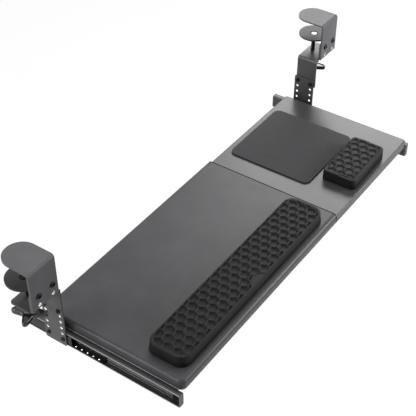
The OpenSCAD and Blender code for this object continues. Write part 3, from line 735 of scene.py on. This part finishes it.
@dataclass
class MousePad:
    """A thin rubber pad with a knitted face and round corners."""

    x: float = 516.0
    y: float = 89.5
    width: float = 174.0
    depth: float = 172.0
    thick: float = 3.0
    corner_r: float = 12.0
    corner_steps: int = 12
    base_z: float = MOUSE_PANEL_Z
    cloth: float = 0.9

    def outline(self, inset: float, z: float) -> list[Vector]:
        """Draws a closed loop round the pad.

        Args:
            inset: How far the loop is drawn in, in mm.
            z: Its height above the pad's base, in mm.

        Returns:
            The loop's points in metres.
        """
        loop = []
        r = self.corner_r
        left, right = self.x + r, self.x + self.width - r
        front, back = self.y + r, self.y + self.depth - r
        for cx, cy, first in ((right, back, 0), (left, back, 90), (left, front, 180),
                              (right, front, 270)):
            for i in range(self.corner_steps + 1):
                a = math.radians(first + 90 * i / self.corner_steps)
                loop.append(at(cx + (r - inset) * math.cos(a),
                               cy + (r - inset) * math.sin(a), self.base_z + z))
        return loop

    def build(self, shop: Shop) -> None:
        """Makes the pad, which stands for its CAD solid.

        Args:
            shop: Maker of pieces.
        """
        mesh = bmesh.new()
        top, cloth = self.thick, self.thick - self.cloth
        # Inset and height of each loop: the rubber, the seam under the cloth, the cloth
        levels = [(0.5, 0.0), (0.1, 0.35), (0.0, 1.0), (0.0, cloth - 0.15), (0.25, cloth),
                  (0.0, cloth + 0.2), (0.0, top - 0.3), (0.12, top - 0.08), (0.5, top)]
        rings(mesh, [self.outline(inset, z) for inset, z in levels])
        mesh.faces.ensure_lookup_table()
        seam = at(0, 0, self.base_z + cloth).z
        for face in mesh.faces:
            face.material_index = 0 if face.calc_center_median().z > seam else 1
        pad = shop.piece("mouse_pad_cloth", mesh, "extension", "pad_rubber",
                         ("mouse_pad",), sharp=50, wears=("pad_rubber", "pad_base"))


@dataclass(frozen=True)
class Screw:
    """Sizes of a button-head screw with a hexagon socket, in mm."""

    head_r: float
    head_h: float
    shank_r: float
    shank: float
    socket: float
    segments: int = 36
    socket_deep: float = 1.5
    thread_gap: float = 0.35
    thread_root: float = 0.86
    # The head's dome as shares of its radius and height, from the socket out and down
    dome: tuple[Pair, ...] = ((0.62, 1.0), (0.8, 0.9), (0.93, 0.68), (0.99, 0.35),
                              (1.0, 0.12), (0.98, 0.0))

    def loops(self, spot: Vector, axis: Vector) -> list[list[Vector]]:
        """Turns one screw.

        Args:
            spot: Underside of its head, in metres.
            axis: Direction that the head faces.

        Returns:
            Loops from the socket's floor over the head to the shank's end.
        """
        floor = self.head_h - min(self.socket_deep, self.head_h * 0.7)
        socket = [(0.55, floor), (0.97, floor + 0.05), (1.0, self.head_h - 0.12),
                  (1.1, self.head_h)]
        dome = [(self.head_r * r, self.head_h * z) for r, z in self.dome]
        threads = round(self.shank / self.thread_gap)
        shank = [(self.shank_r, 0.0)]
        shank += [(self.shank_r * (self.thread_root if k % 2 else 1.0),
                   -self.shank * (k + 1) / (threads + 1)) for k in range(threads)]
        tip = [(self.shank_r * 0.8, -self.shank)]
        return turned(socket + dome + shank + tip, spot, axis, self.segments, self.socket,
                      len(socket))


@dataclass
class Clamp:
    """One end's clamp: threaded spindle, lobed knob, screws and hole linings."""

    side: Side
    knob_turn: float
    screw_x: float
    rivet: str
    # Spindle: its place, the thread's ends and form, and the run-out to its root
    spindle_x: float = -50.8
    spindle_y: float = 248.5
    disc_top: float = 124.0
    thread_gaps: Pair = (3.0, 7.1)
    thread_segments: int = 24
    thread_steps: int = 8
    pitch: float = 1.25
    crest_r: float = 3.98
    thread_depth: float = 0.62
    thread_slope: float = 1.35
    crest_flat: float = 0.18
    root_r: float = 3.3
    run_out: float = 1.5
    # Riveted end: radius of each loop, and its height against the disc's top
    rivet_head: tuple[Pair, ...] = ((2.95, -2.15), (5.2, -2.1), (5.45, -1.8), (5.2, -1.1),
                                    (4.0, -0.75), (1.2, -0.62))
    # Knob: outline over its lobes
    knob_base: float = 45.0
    knob_r: float = 28.95
    knob_points: int = 160
    smoothings: int = 3
    lobes: int = 4
    lobe_reach: float = 24.0
    lobe_r: float = 5.0
    waist_r: float = 13.2
    waist_power: float = 2.1
    # Knob: inset and height of its edge's loops, and radius and height of its hub's
    knob_edge: tuple[Pair, ...] = (
        (-3.2, 0.0), (-1.6, 0.15), (-0.6, 0.6), (-0.1, 1.5), (0.0, 2.4), (0.0, 5.6),
        (-0.15, 6.6), (-0.7, 7.4), (-1.4, 7.9), (-2.2, 8.0), (-2.9, 7.8), (-3.6, 6.9),
        (-4.2, 6.6), (-7.0, 6.5))
    knob_hub: tuple[Pair, ...] = (
        (4.05, 3.1), (4.05, 10.6), (4.5, 11.0), (8.6, 11.0), (9.5, 10.5), (9.8, 9.6),
        (10.0, 7.4), (10.4, 6.4), (4.05, 6.4))
    # Hook and its holes
    hook_y: float = 214.0
    hook_t: float = 3.0
    screw_pitch: float = 30.0
    screw_z: float = 110.0
    open_z: float = 92.7
    hook_hole_r: float = 3.245
    hook_screw: Screw = Screw(head_r=5.5, head_h=2.5, shank_r=3.0, shank=11.8, socket=4.0)
    # Bracket and hanger with their holes
    bracket_x: float = -12.0
    bracket_t: float = 2.5
    hanger_t: float = 2.0
    column_y: float = 226.0
    column_pitch: float = 29.5
    first_row: float = -33.0
    row_pitch: float = 13.1
    rows: int = 6
    hanger_hole_r: float = 2.395
    hanger_bolt: Screw = Screw(head_r=4.0, head_h=2.4, shank_r=2.0, shank=9.1, socket=2.5)
    slide_screw: Screw = Screw(head_r=4.0, head_h=2.4, shank_r=2.0, shank=4.6, socket=2.5)
    # Cut threads: spacing of their ridges, and how far ridges and grooves stand in
    ridge_gap: float = 0.35
    ridge_in: float = 0.32
    groove_in: float = 0.14

    @property
    def out(self) -> Vector:
        """Direction from the tray out past this end."""
        return Vector((self.side.value, 0, 0))

    @property
    def centre(self) -> Vector:
        """Foot of the spindle's axis at the height of the keyboard panel's top."""
        return self.spot(self.spindle_x, self.spindle_y, 0)

    def spot(self, x: float, y: float, z: float) -> Vector:
        """A place of the left end, at this end, in metres."""
        return at(self.side.across(x), y, z)

    def spindle(self, shop: Shop) -> None:
        """Rolls the spindle's thread and turns its neck and riveted head.

        Args:
            shop: Maker of pieces.
        """
        mesh = bmesh.new()
        centre, segments = self.centre, self.thread_segments
        low = self.knob_base + self.thread_gaps[0]
        high = self.disc_top - self.thread_gaps[1]
        count = round((high - low) / self.pitch * self.thread_steps)
        loops = []
        for k in range(count + 1):
            z = low + (high - low) * k / count
            ease = min(1.0, (z - low) / self.run_out, (high - z) / self.run_out)
            loop = []
            for i in range(segments):
                phase = ((z - low) / self.pitch - i / segments) % 1.0
                crest = abs(2 * phase - 1) * self.thread_slope - self.crest_flat
                radius = self.crest_r - self.thread_depth * unit(1 - crest)
                radius = radius * ease + self.root_r * (1 - ease)
                a = 2 * math.pi * i / segments
                loop.append(centre + Vector((radius * math.cos(a), radius * math.sin(a), z)) * MM)
            loops.append(loop)
        rings(mesh, loops)
        neck = [(2.9, high - 0.3), (2.95, self.disc_top - 2.1), (4.0, self.disc_top - 2.0)]
        rings(mesh, turned(neck, centre, UP))
        shop.piece(f"{self.side.tag}_threaded_spindle", mesh, f"{self.side.tag}_screw",
                   "spindle_steel", (f"{self.side.tag}_spindle",))
        mesh = bmesh.new()
        rings(mesh, turned([(r, self.disc_top + z) for r, z in self.rivet_head], centre, UP))
        shop.piece(f"{self.side.tag}_spindle_rivet", mesh, f"{self.side.tag}_screw",
                   "spindle_steel", wears=(self.rivet,))

    def lobe_radius(self, angle: float) -> float:
        """Finds the reach of the knob's outline before it is smoothed.

        Args:
            angle: Angle from a lobe in radians.

        Returns:
            The reach in mm.
        """
        step = 2 * math.pi / self.lobes
        off = abs((angle + step / 2) % step - step / 2)
        side = self.lobe_reach * math.sin(off)
        if side < self.lobe_r:
            return self.lobe_reach * math.cos(off) + math.sqrt(self.lobe_r ** 2 - side * side)
        edge = math.asin(self.lobe_r / self.lobe_reach)
        share = (off - edge) / (step / 2 - edge)
        rise = self.lobe_reach * math.cos(edge) - self.waist_r
        return self.waist_r + rise * (1 - share) ** self.waist_power

    def knob(self, shop: Shop) -> None:
        """Moulds the knob with soft edges, hollow flanks and a raised hub.

        Args:
            shop: Maker of pieces.
        """
        count = self.knob_points
        raw = [self.lobe_radius(2 * math.pi * i / count) for i in range(count)]
        for _ in range(self.smoothings):
            raw = [(raw[i - 1] + 2 * raw[i] + raw[(i + 1) % count]) / 4 for i in range(count)]
        grow = self.knob_r / max(raw)
        raw = [r * grow for r in raw]
        tilt = math.radians(self.knob_turn)
        if self.side is Side.RIGHT:
            tilt = math.pi - tilt
        ways = [(math.cos(a), math.sin(a))
                for a in (tilt + 2 * math.pi * i / count for i in range(count))]
        mesh = bmesh.new()
        rings(mesh, [[self.centre + Vector(((r + inset) * c, (r + inset) * s,
                                            self.knob_base + z)) * MM
                      for r, (c, s) in zip(raw, ways)] for inset, z in self.knob_edge])
        hub = [(r, z + self.knob_base) for r, z in self.knob_hub]
        rings(mesh, turned(hub, self.centre, UP, 48), start=False, end=False)
        shop.piece(f"{self.side.tag}_star_knob", mesh, f"{self.side.tag}_screw",
                   "knob_plastic", (f"{self.side.tag}_knob",), sharp=50)

    def screws(self, shop: Shop, name: str, spots: list[Vector], axis: Vector,
               screw: Screw) -> None:
        """Makes a group of button-head screws that stands for its CAD node.

        Args:
            shop: Maker of pieces.
            name: CAD node that the screws replace.
            spots: Underside of each head, in metres.
            axis: Direction that the heads face.
            screw: The sizes that they share.
        """
        mesh = bmesh.new()
        for spot in spots:
            rings(mesh, screw.loops(spot, axis))
        shop.piece(name + "_socket", mesh, f"{self.side.tag}_mount", "black_steel", (name,),
                   sharp=32)

    def fasteners(self, shop: Shop) -> None:
        """Makes the hook's screws, the bracket's bolts and the slide's screws.

        Args:
            shop: Maker of pieces.
        """
        tag = self.side.tag
        heads = [self.spot(self.screw_x + s * self.screw_pitch / 2, self.hook_y, self.screw_z)
                 for s in (-1, 1)]
        self.screws(shop, f"{tag}_hook_screws", heads, FRONT, self.hook_screw)
        columns = [self.column_y + i * self.column_pitch for i in (0, 1)]
        top = self.first_row + (self.rows - 1) * self.row_pitch
        bolts = [self.spot(self.bracket_x - self.bracket_t, y, top) for y in columns]
        self.screws(shop, f"{tag}_hanger_bolts", bolts, self.out, self.hanger_bolt)
        low = [self.spot(self.bracket_x, y, self.first_row) for y in columns]
        self.screws(shop, f"{tag}_slide_screws", low, self.out, self.slide_screw)

    def linings(self, shop: Shop) -> None:
        """Lines the hanger's open holes and the hook's small holes with ridged rings in near
        white, which paints the light seen through them.

        Args:
            shop: Maker of pieces.
        """
        mesh = bmesh.new()
        for i in (0, 1):
            for row in range(1, self.rows - 1):
                spot = self.spot(self.bracket_x, self.column_y + i * self.column_pitch,
                                 self.first_row + row * self.row_pitch)
                self.thread(mesh, spot, self.out, self.hanger_hole_r, self.hanger_t)
        # The near white of the linings paints the light seen through the holes
        shop.piece(f"{self.side.tag}_hanger_threads", mesh, f"{self.side.tag}_mount",
                   "bracket_steel", wears=("painted_white_light",))
        mesh = bmesh.new()
        for s in (-1, 1):
            spot = self.spot(self.screw_x + s * self.screw_pitch / 2, self.hook_y, self.open_z)
            self.thread(mesh, spot, FRONT, self.hook_hole_r, self.hook_t)
        # The near white of the linings paints the light seen through the holes
        shop.piece(f"{self.side.tag}_hook_threads", mesh, f"{self.side.tag}_mount",
                   "hook_steel", wears=("painted_white_light",))

    def thread(self, mesh: bmesh.types.BMesh, spot: Vector, axis: Vector, radius: float,
               depth: float) -> None:
        """Adds a hole's lining, a thin ring with ridges on its inside.

        Args:
            mesh: Mesh to add to.
            spot: Middle of the hole's outer end.
            axis: Direction that the hole faces.
            radius: Radius of the hole in mm.
            depth: Thickness of the plate in mm.
        """
        ridges = max(3, round(depth / self.ridge_gap))
        inside = []
        for k in range(ridges + 1):
            inward = self.ridge_in if 0 < k < ridges and k % 2 else self.groove_in
            inside.append((radius - inward, -depth * k / ridges))
        loop = [(radius, 0.0)] + inside + [(radius, -depth), (radius, 0.0)]
        rings(mesh, turned(loop, spot, axis, 24), start=False, end=False)

    def build(self, shop: Shop) -> None:
        """Makes all of the clamp's own pieces.

        Args:
            shop: Maker of pieces.
        """
        self.spindle(shop)
        self.knob(shop)
        self.fasteners(shop)
        self.linings(shop)


@dataclass
class SlideTrim:
    """Rolled ribs on a slide's web, grey as painted light, and its rolled lips, pale as painted
    highlights.
    """

    side: Side
    # Ribs: their ends along the slide, the web's face and middle, and their section
    start: float = 16.0
    end: float = 303.0
    web_x: float = 0.35
    mid_z: float = -33.0
    ribs: tuple[float, ...] = (-7.0, -3.0, 3.0, 7.0)
    half: float = 0.8
    rise: float = 0.75
    # Lips: their ends along the slide, their lower and upper heights, and their back face
    lip_ends: Pair = (0.3, 304.7)
    lips: tuple[Pair, ...] = ((-21.2, -19.9), (-46.1, -45.2))
    lip_back: float = -8.4

    @property
    def body(self) -> str:
        """CAD body that carries the slide."""
        return "tray" if self.side is Side.LEFT else "extension"

    def build(self, shop: Shop) -> None:
        """Makes the ribs and the lips, which ride with the slide's panel.

        Args:
            shop: Maker of pieces.
        """
        mesh = bmesh.new()
        section = [(0.1, -self.half - 0.5), (-self.rise * 0.6, -self.half * 0.7),
                   (-self.rise, -self.half * 0.2), (-self.rise, self.half * 0.2),
                   (-self.rise * 0.6, self.half * 0.7), (0.1, self.half + 0.5)]
        for rib in self.ribs:
            rings(mesh, [[at(self.side.across(self.web_x + x), y, self.mid_z + rib + z)
                          for x, z in section] for y in (self.start, self.end)])
        # The ribs' grey is painted light: a lit copy of the black slide coat
        shop.piece(f"{self.side.tag}_slide_ribs", mesh, self.body, "slide_steel",
                   wears=("rib_painted_light",))
        mesh = bmesh.new()
        for low, high in self.lips:
            section = [(-8.95, low), (-9.2, low + 0.1), (-9.25, high - 0.3), (-9.0, high + 0.2),
                       (self.lip_back, high + 0.42), (self.lip_back, low)]
            rings(mesh, [[at(self.side.across(x), y, z) for x, z in section]
                         for y in self.lip_ends])
        # The lips' pale grey is a painted highlight
        shop.piece(f"{self.side.tag}_slide_lips", mesh, self.body, "slide_steel",
                   wears=("painted_highlight_grey",))


@dataclass
class PanelHem:
    """Rolled bead along the keyboard panel's lower edge, pale as a painted highlight, and a black
    strip on its cut end as a painted shadow.
    """

    width: float = 467.0
    depth: float = 276.0
    skirt: float = 17.5
    # Bead: the panel's corner radius in plan, the bead's height and radius, and how far it
    # is sunk in the skirt
    corner_r: float = 10.5
    corner_steps: int = 12
    z: float = -17.0
    bead: float = 0.8
    bead_points: int = 8
    sink: float = 0.2
    # Painted shadow strip: radius of the panel's top edge, and the strip's section, as its way
    # out from the cut end and its depth under the panel's face
    edge_r: float = 8.0
    edge_steps: int = 8
    shadow_strip_section: tuple[Pair, ...] = ((-1.6, -0.15), (0.1, -0.2), (0.3, 0.1), (0.3, 1.2),
                                        (0.1, 1.4), (-0.1, 1.4))

    def hem(self, shop: Shop) -> None:
        """Makes the bead round the left end and along the front; its pale grey is a painted
        highlight.

        Args:
            shop: Maker of pieces.
        """
        r = self.corner_r
        # Places on the skirt with the way in from it
        path = [((0.0, self.depth - r), (1, 0))]
        for i in range(self.corner_steps + 1):
            a = math.pi + math.pi / 2 * i / self.corner_steps
            path.append(((r + r * math.cos(a), r + r * math.sin(a)),
                         (-math.cos(a), -math.sin(a))))
        path.append(((self.width, 0.0), (0, 1)))
        mesh = bmesh.new()
        loops = []
        for (x, y), (in_x, in_y) in path:
            loop = []
            for k in range(self.bead_points):
                a = 2 * math.pi * k / self.bead_points
                out = self.bead * math.cos(a) - self.sink
                loop.append(at(x - in_x * out, y - in_y * out, self.z + self.bead * math.sin(a)))
            loops.append(loop)
        rings(mesh, loops)
        # The bead's pale grey is a painted highlight
        shop.piece("keyboard_panel_hem", mesh, "tray", "keyboard_panel_steel",
                   wears=("painted_highlight_grey",))

    def shadow_strip(self, shop: Shop) -> None:
        """Makes the black strip of painted shadow up the front, over the top and down the back.

        Args:
            shop: Maker of pieces.
        """
        r = self.edge_r
        # Places on the cut end's outline with the way in from it
        line = [(0.0, -self.skirt, 1.0, 0.0)]
        line += [(r - r * math.cos(a), r * math.sin(a) - r, math.cos(a), -math.sin(a))
                 for a in (math.pi / 2 * i / self.edge_steps
                           for i in range(self.edge_steps + 1))]
        line += [(self.depth - y, z, -in_y, in_z) for y, z, in_y, in_z in reversed(line)]
        mesh = bmesh.new()
        rings(mesh, [[at(self.width + x, y + in_y * deep, z + in_z * deep)
                      for x, deep in self.shadow_strip_section] for y, z, in_y, in_z in line])
        # The near-black rubber finish paints the shadow at the step down to the mouse panel
        shop.piece("keyboard_panel_shadow_strip", mesh, "tray", "keyboard_panel_steel",
                   wears=("stop_rubber",))

    def build(self, shop: Shop) -> None:
        """Makes the bead with its painted highlight and the strip of painted shadow, which ride
        with the panel.
        """
        self.hem(shop)
        self.shadow_strip(shop)


@dataclass(frozen=True)
class SoftBox:
    """A square soft lamp: its place and side in metres, and its power in watts."""

    name: str
    place: Point
    side: float
    power: float


@dataclass
class Studio:
    """White studio: pale floor far below the hanging tray, soft lamps and the camera."""

    azimuth: float = -55.05
    elevation: float = 41.0
    roll: float = -0.14
    lens: float = 85.918
    sensor: float = 36.0
    shift: Pair = (0.0123, 0.0301)
    clip: Pair = (0.05, 50.0)
    eye: Point = (-1.1318, -0.7841, 0.9835)
    # Strength of the room's soft light, and of the white that shows behind the tray
    fill: float = 0.34
    white: float = 1.0
    # Floor: its height, half its side and roughness, and how much of it shows plain white
    floor_z: float = -0.75
    floor_half: float = 6.0
    floor_roughness: float = 0.9
    floor_glow: float = 0.88
    # Lamps, and the place that they point at
    aim: Point = (0.0, -0.08, -0.15)
    lamps: tuple[SoftBox, ...] = (SoftBox("overhead_box", (0.2, 0.0, 1.7), 1.2, 14.0),
                                  SoftBox("back_box", (1.8, 0.6, 1.12), 1.0, 26.0),
                                  SoftBox("front_box", (1.25, -1.6, 0.46), 1.0, 42.0),
                                  SoftBox("left_box", (-1.5, 0.85, 0.8), 0.8, 26.0))

    def camera(self) -> None:
        """Sets up the camera where the photograph was taken from."""
        a, e = math.radians(self.azimuth), math.radians(self.elevation)
        back = Vector((math.sin(a) * math.cos(e), -math.cos(a) * math.cos(e), math.sin(e)))
        right = (-back).cross(UP).normalized()
        up = right.cross(-back)
        roll = math.radians(self.roll)
        right, up = (math.cos(roll) * right + math.sin(roll) * up,
                     -math.sin(roll) * right + math.cos(roll) * up)
        data = bpy.data.cameras.new("studio_camera")
        data.lens, data.sensor_width, data.sensor_fit = self.lens, self.sensor, "HORIZONTAL"
        data.shift_x, data.shift_y = self.shift
        data.clip_start, data.clip_end = self.clip
        camera = bpy.data.objects.new("studio_camera", data)
        turn = Matrix((right, up, back)).transposed().to_4x4()
        camera.matrix_world = Matrix.Translation(Vector(self.eye)) @ turn
        bpy.context.scene.collection.objects.link(camera)
        bpy.context.scene.camera = camera

    def hang(self, box: SoftBox) -> None:
        """Hangs a soft lamp that points at the tray.

        Args:
            box: The lamp.
        """
        data = bpy.data.lights.new(box.name, "AREA")
        data.shape, data.size, data.energy = "SQUARE", box.side, box.power
        lamp = bpy.data.objects.new(box.name, data)
        way = Vector(self.aim) - Vector(box.place)
        lamp.matrix_world = (Matrix.Translation(Vector(box.place))
                             @ way.to_track_quat("-Z", "Y").to_matrix().to_4x4())
        bpy.context.scene.collection.objects.link(lamp)

    def seen_white(self, tree: bpy.types.NodeTree) -> bpy.types.NodeSocket:
        """Tells what the camera, a mirror or glass sees from the light that falls on things.

        Args:
            tree: Node tree to add to.

        Returns:
            Socket that is 1 for what is seen and 0 for the light.
        """
        path = add_node(tree, "ShaderNodeLightPath")
        first = add_node(tree, "ShaderNodeMath", {"operation": "MAXIMUM"},
                         {0: path.outputs["Is Camera Ray"], 1: path.outputs["Is Glossy Ray"]})
        both = add_node(tree, "ShaderNodeMath", {"operation": "MAXIMUM"},
                        {0: first.outputs[0], 1: path.outputs["Is Transmission Ray"]})
        return both.outputs[0]

    def world(self) -> None:
        """Fills the room with soft light and shows white behind the tray."""
        world = bpy.data.worlds.new("studio_world")
        bpy.context.scene.world = world
        world.use_nodes = True
        tree = world.node_tree
        tree.nodes.clear()
        fill, white = [add_node(tree, "ShaderNodeBackground",
                                {"Color": linear("#ffffff"), "Strength": strength})
                       for strength in (self.fill, self.white)]
        mix = add_node(tree, "ShaderNodeMixShader", {},
                       {0: self.seen_white(tree), 1: fill.outputs[0], 2: white.outputs[0]})
        add_node(tree, "ShaderNodeOutputWorld", {}, {"Surface": mix.outputs[0]})

    def floor(self) -> None:
        """Lays the pale floor, which keeps the tray's faint shadow."""
        mesh = bmesh.new()
        side = self.floor_half
        corners = [mesh.verts.new((x, y, self.floor_z))
                   for x, y in ((-side, -side), (side, -side), (side, side), (-side, side))]
        mesh.faces.new(corners)
        data = bpy.data.meshes.new("studio_floor")
        mesh.to_mesh(data)
        mesh.free()
        floor = bpy.data.objects.new("studio_floor", data)
        bpy.context.scene.collection.objects.link(floor)
        material, tree, shader, _ = fresh("studio_floor_paint")
        shader.inputs["Base Color"].default_value = linear("#f2f2f2")
        shader.inputs["Roughness"].default_value = self.floor_roughness
        shader.inputs["Specular IOR Level"].default_value = 0.0
        glow = add_node(tree, "ShaderNodeEmission",
                        {"Color": linear("#ffffff"), "Strength": self.white})
        share = add_node(tree, "ShaderNodeMath", {"operation": "MULTIPLY", 1: self.floor_glow},
                         {0: self.seen_white(tree)})
        mix = add_node(tree, "ShaderNodeMixShader", {},
                       {0: share.outputs[0], 1: shader.outputs[0], 2: glow.outputs[0]})
        tree.links.new(mix.outputs[0], tree.nodes["Material Output"].inputs["Surface"])
        data.materials.append(material)

    def build(self) -> None:
        """Sets up the whole studio."""
        bpy.context.scene.view_settings.view_transform = "Standard"
        self.camera()
        self.world()
        self.floor()
        for box in self.lamps:
            self.hang(box)


def wrist_rests() -> tuple[HoneycombRest, HoneycombRest]:
    """Lays out the two wrist rests.

    Returns:
        The rest of the keyboard panel, and the one that lies a little turned on the
        mouse panel.
    """
    wide = HoneycombRest("keyboard_wrist_rest", corner=(20.0, 50.0, 0.0), length=425.0,
                         depth=76.0, turn=0.0, body="tray", bay=(212.0, 15.5))
    middle_x, middle_y, length, turn = 611.5, 46.0, 127.0, 1.0
    along = math.radians(turn)
    corner = (middle_x - length / 2 * math.cos(along),
              middle_y - length / 2 * math.sin(along), MOUSE_PANEL_Z)
    short = HoneycombRest("mouse_wrist_rest", corner, length, depth=68.0, turn=turn,
                          body="extension", corner_r=10.0, height=22.0, lean=0.8,
                          cell_depth=2.6, ledge=3.5, first=(8.0, -1.0))
    return wide, short


def main() -> None:
    """Builds the studio and every dressed piece of the tray."""
    logging.basicConfig(level=logging.INFO, format="%(message)s")
    Studio().build()
    shop = Shop(finishes())
    shop.coat_nodes()
    for rest in wrist_rests():
        rest.build(shop)
    MousePad().build(shop)
    PanelHem().build(shop)
    for side in Side:
        SlideTrim(side).build(shop)
    Clamp(Side.LEFT, knob_turn=25.0, screw_x=-44.2, rivet="black_steel").build(shop)
    # The right rivet wears the near white of painted light
    Clamp(Side.RIGHT, knob_turn=75.0, screw_x=-52.8, rivet="painted_white_light").build(shop)
    LOG.info("%d dressed pieces", len(shop.made))


if __name__ == "__main__":
    main()
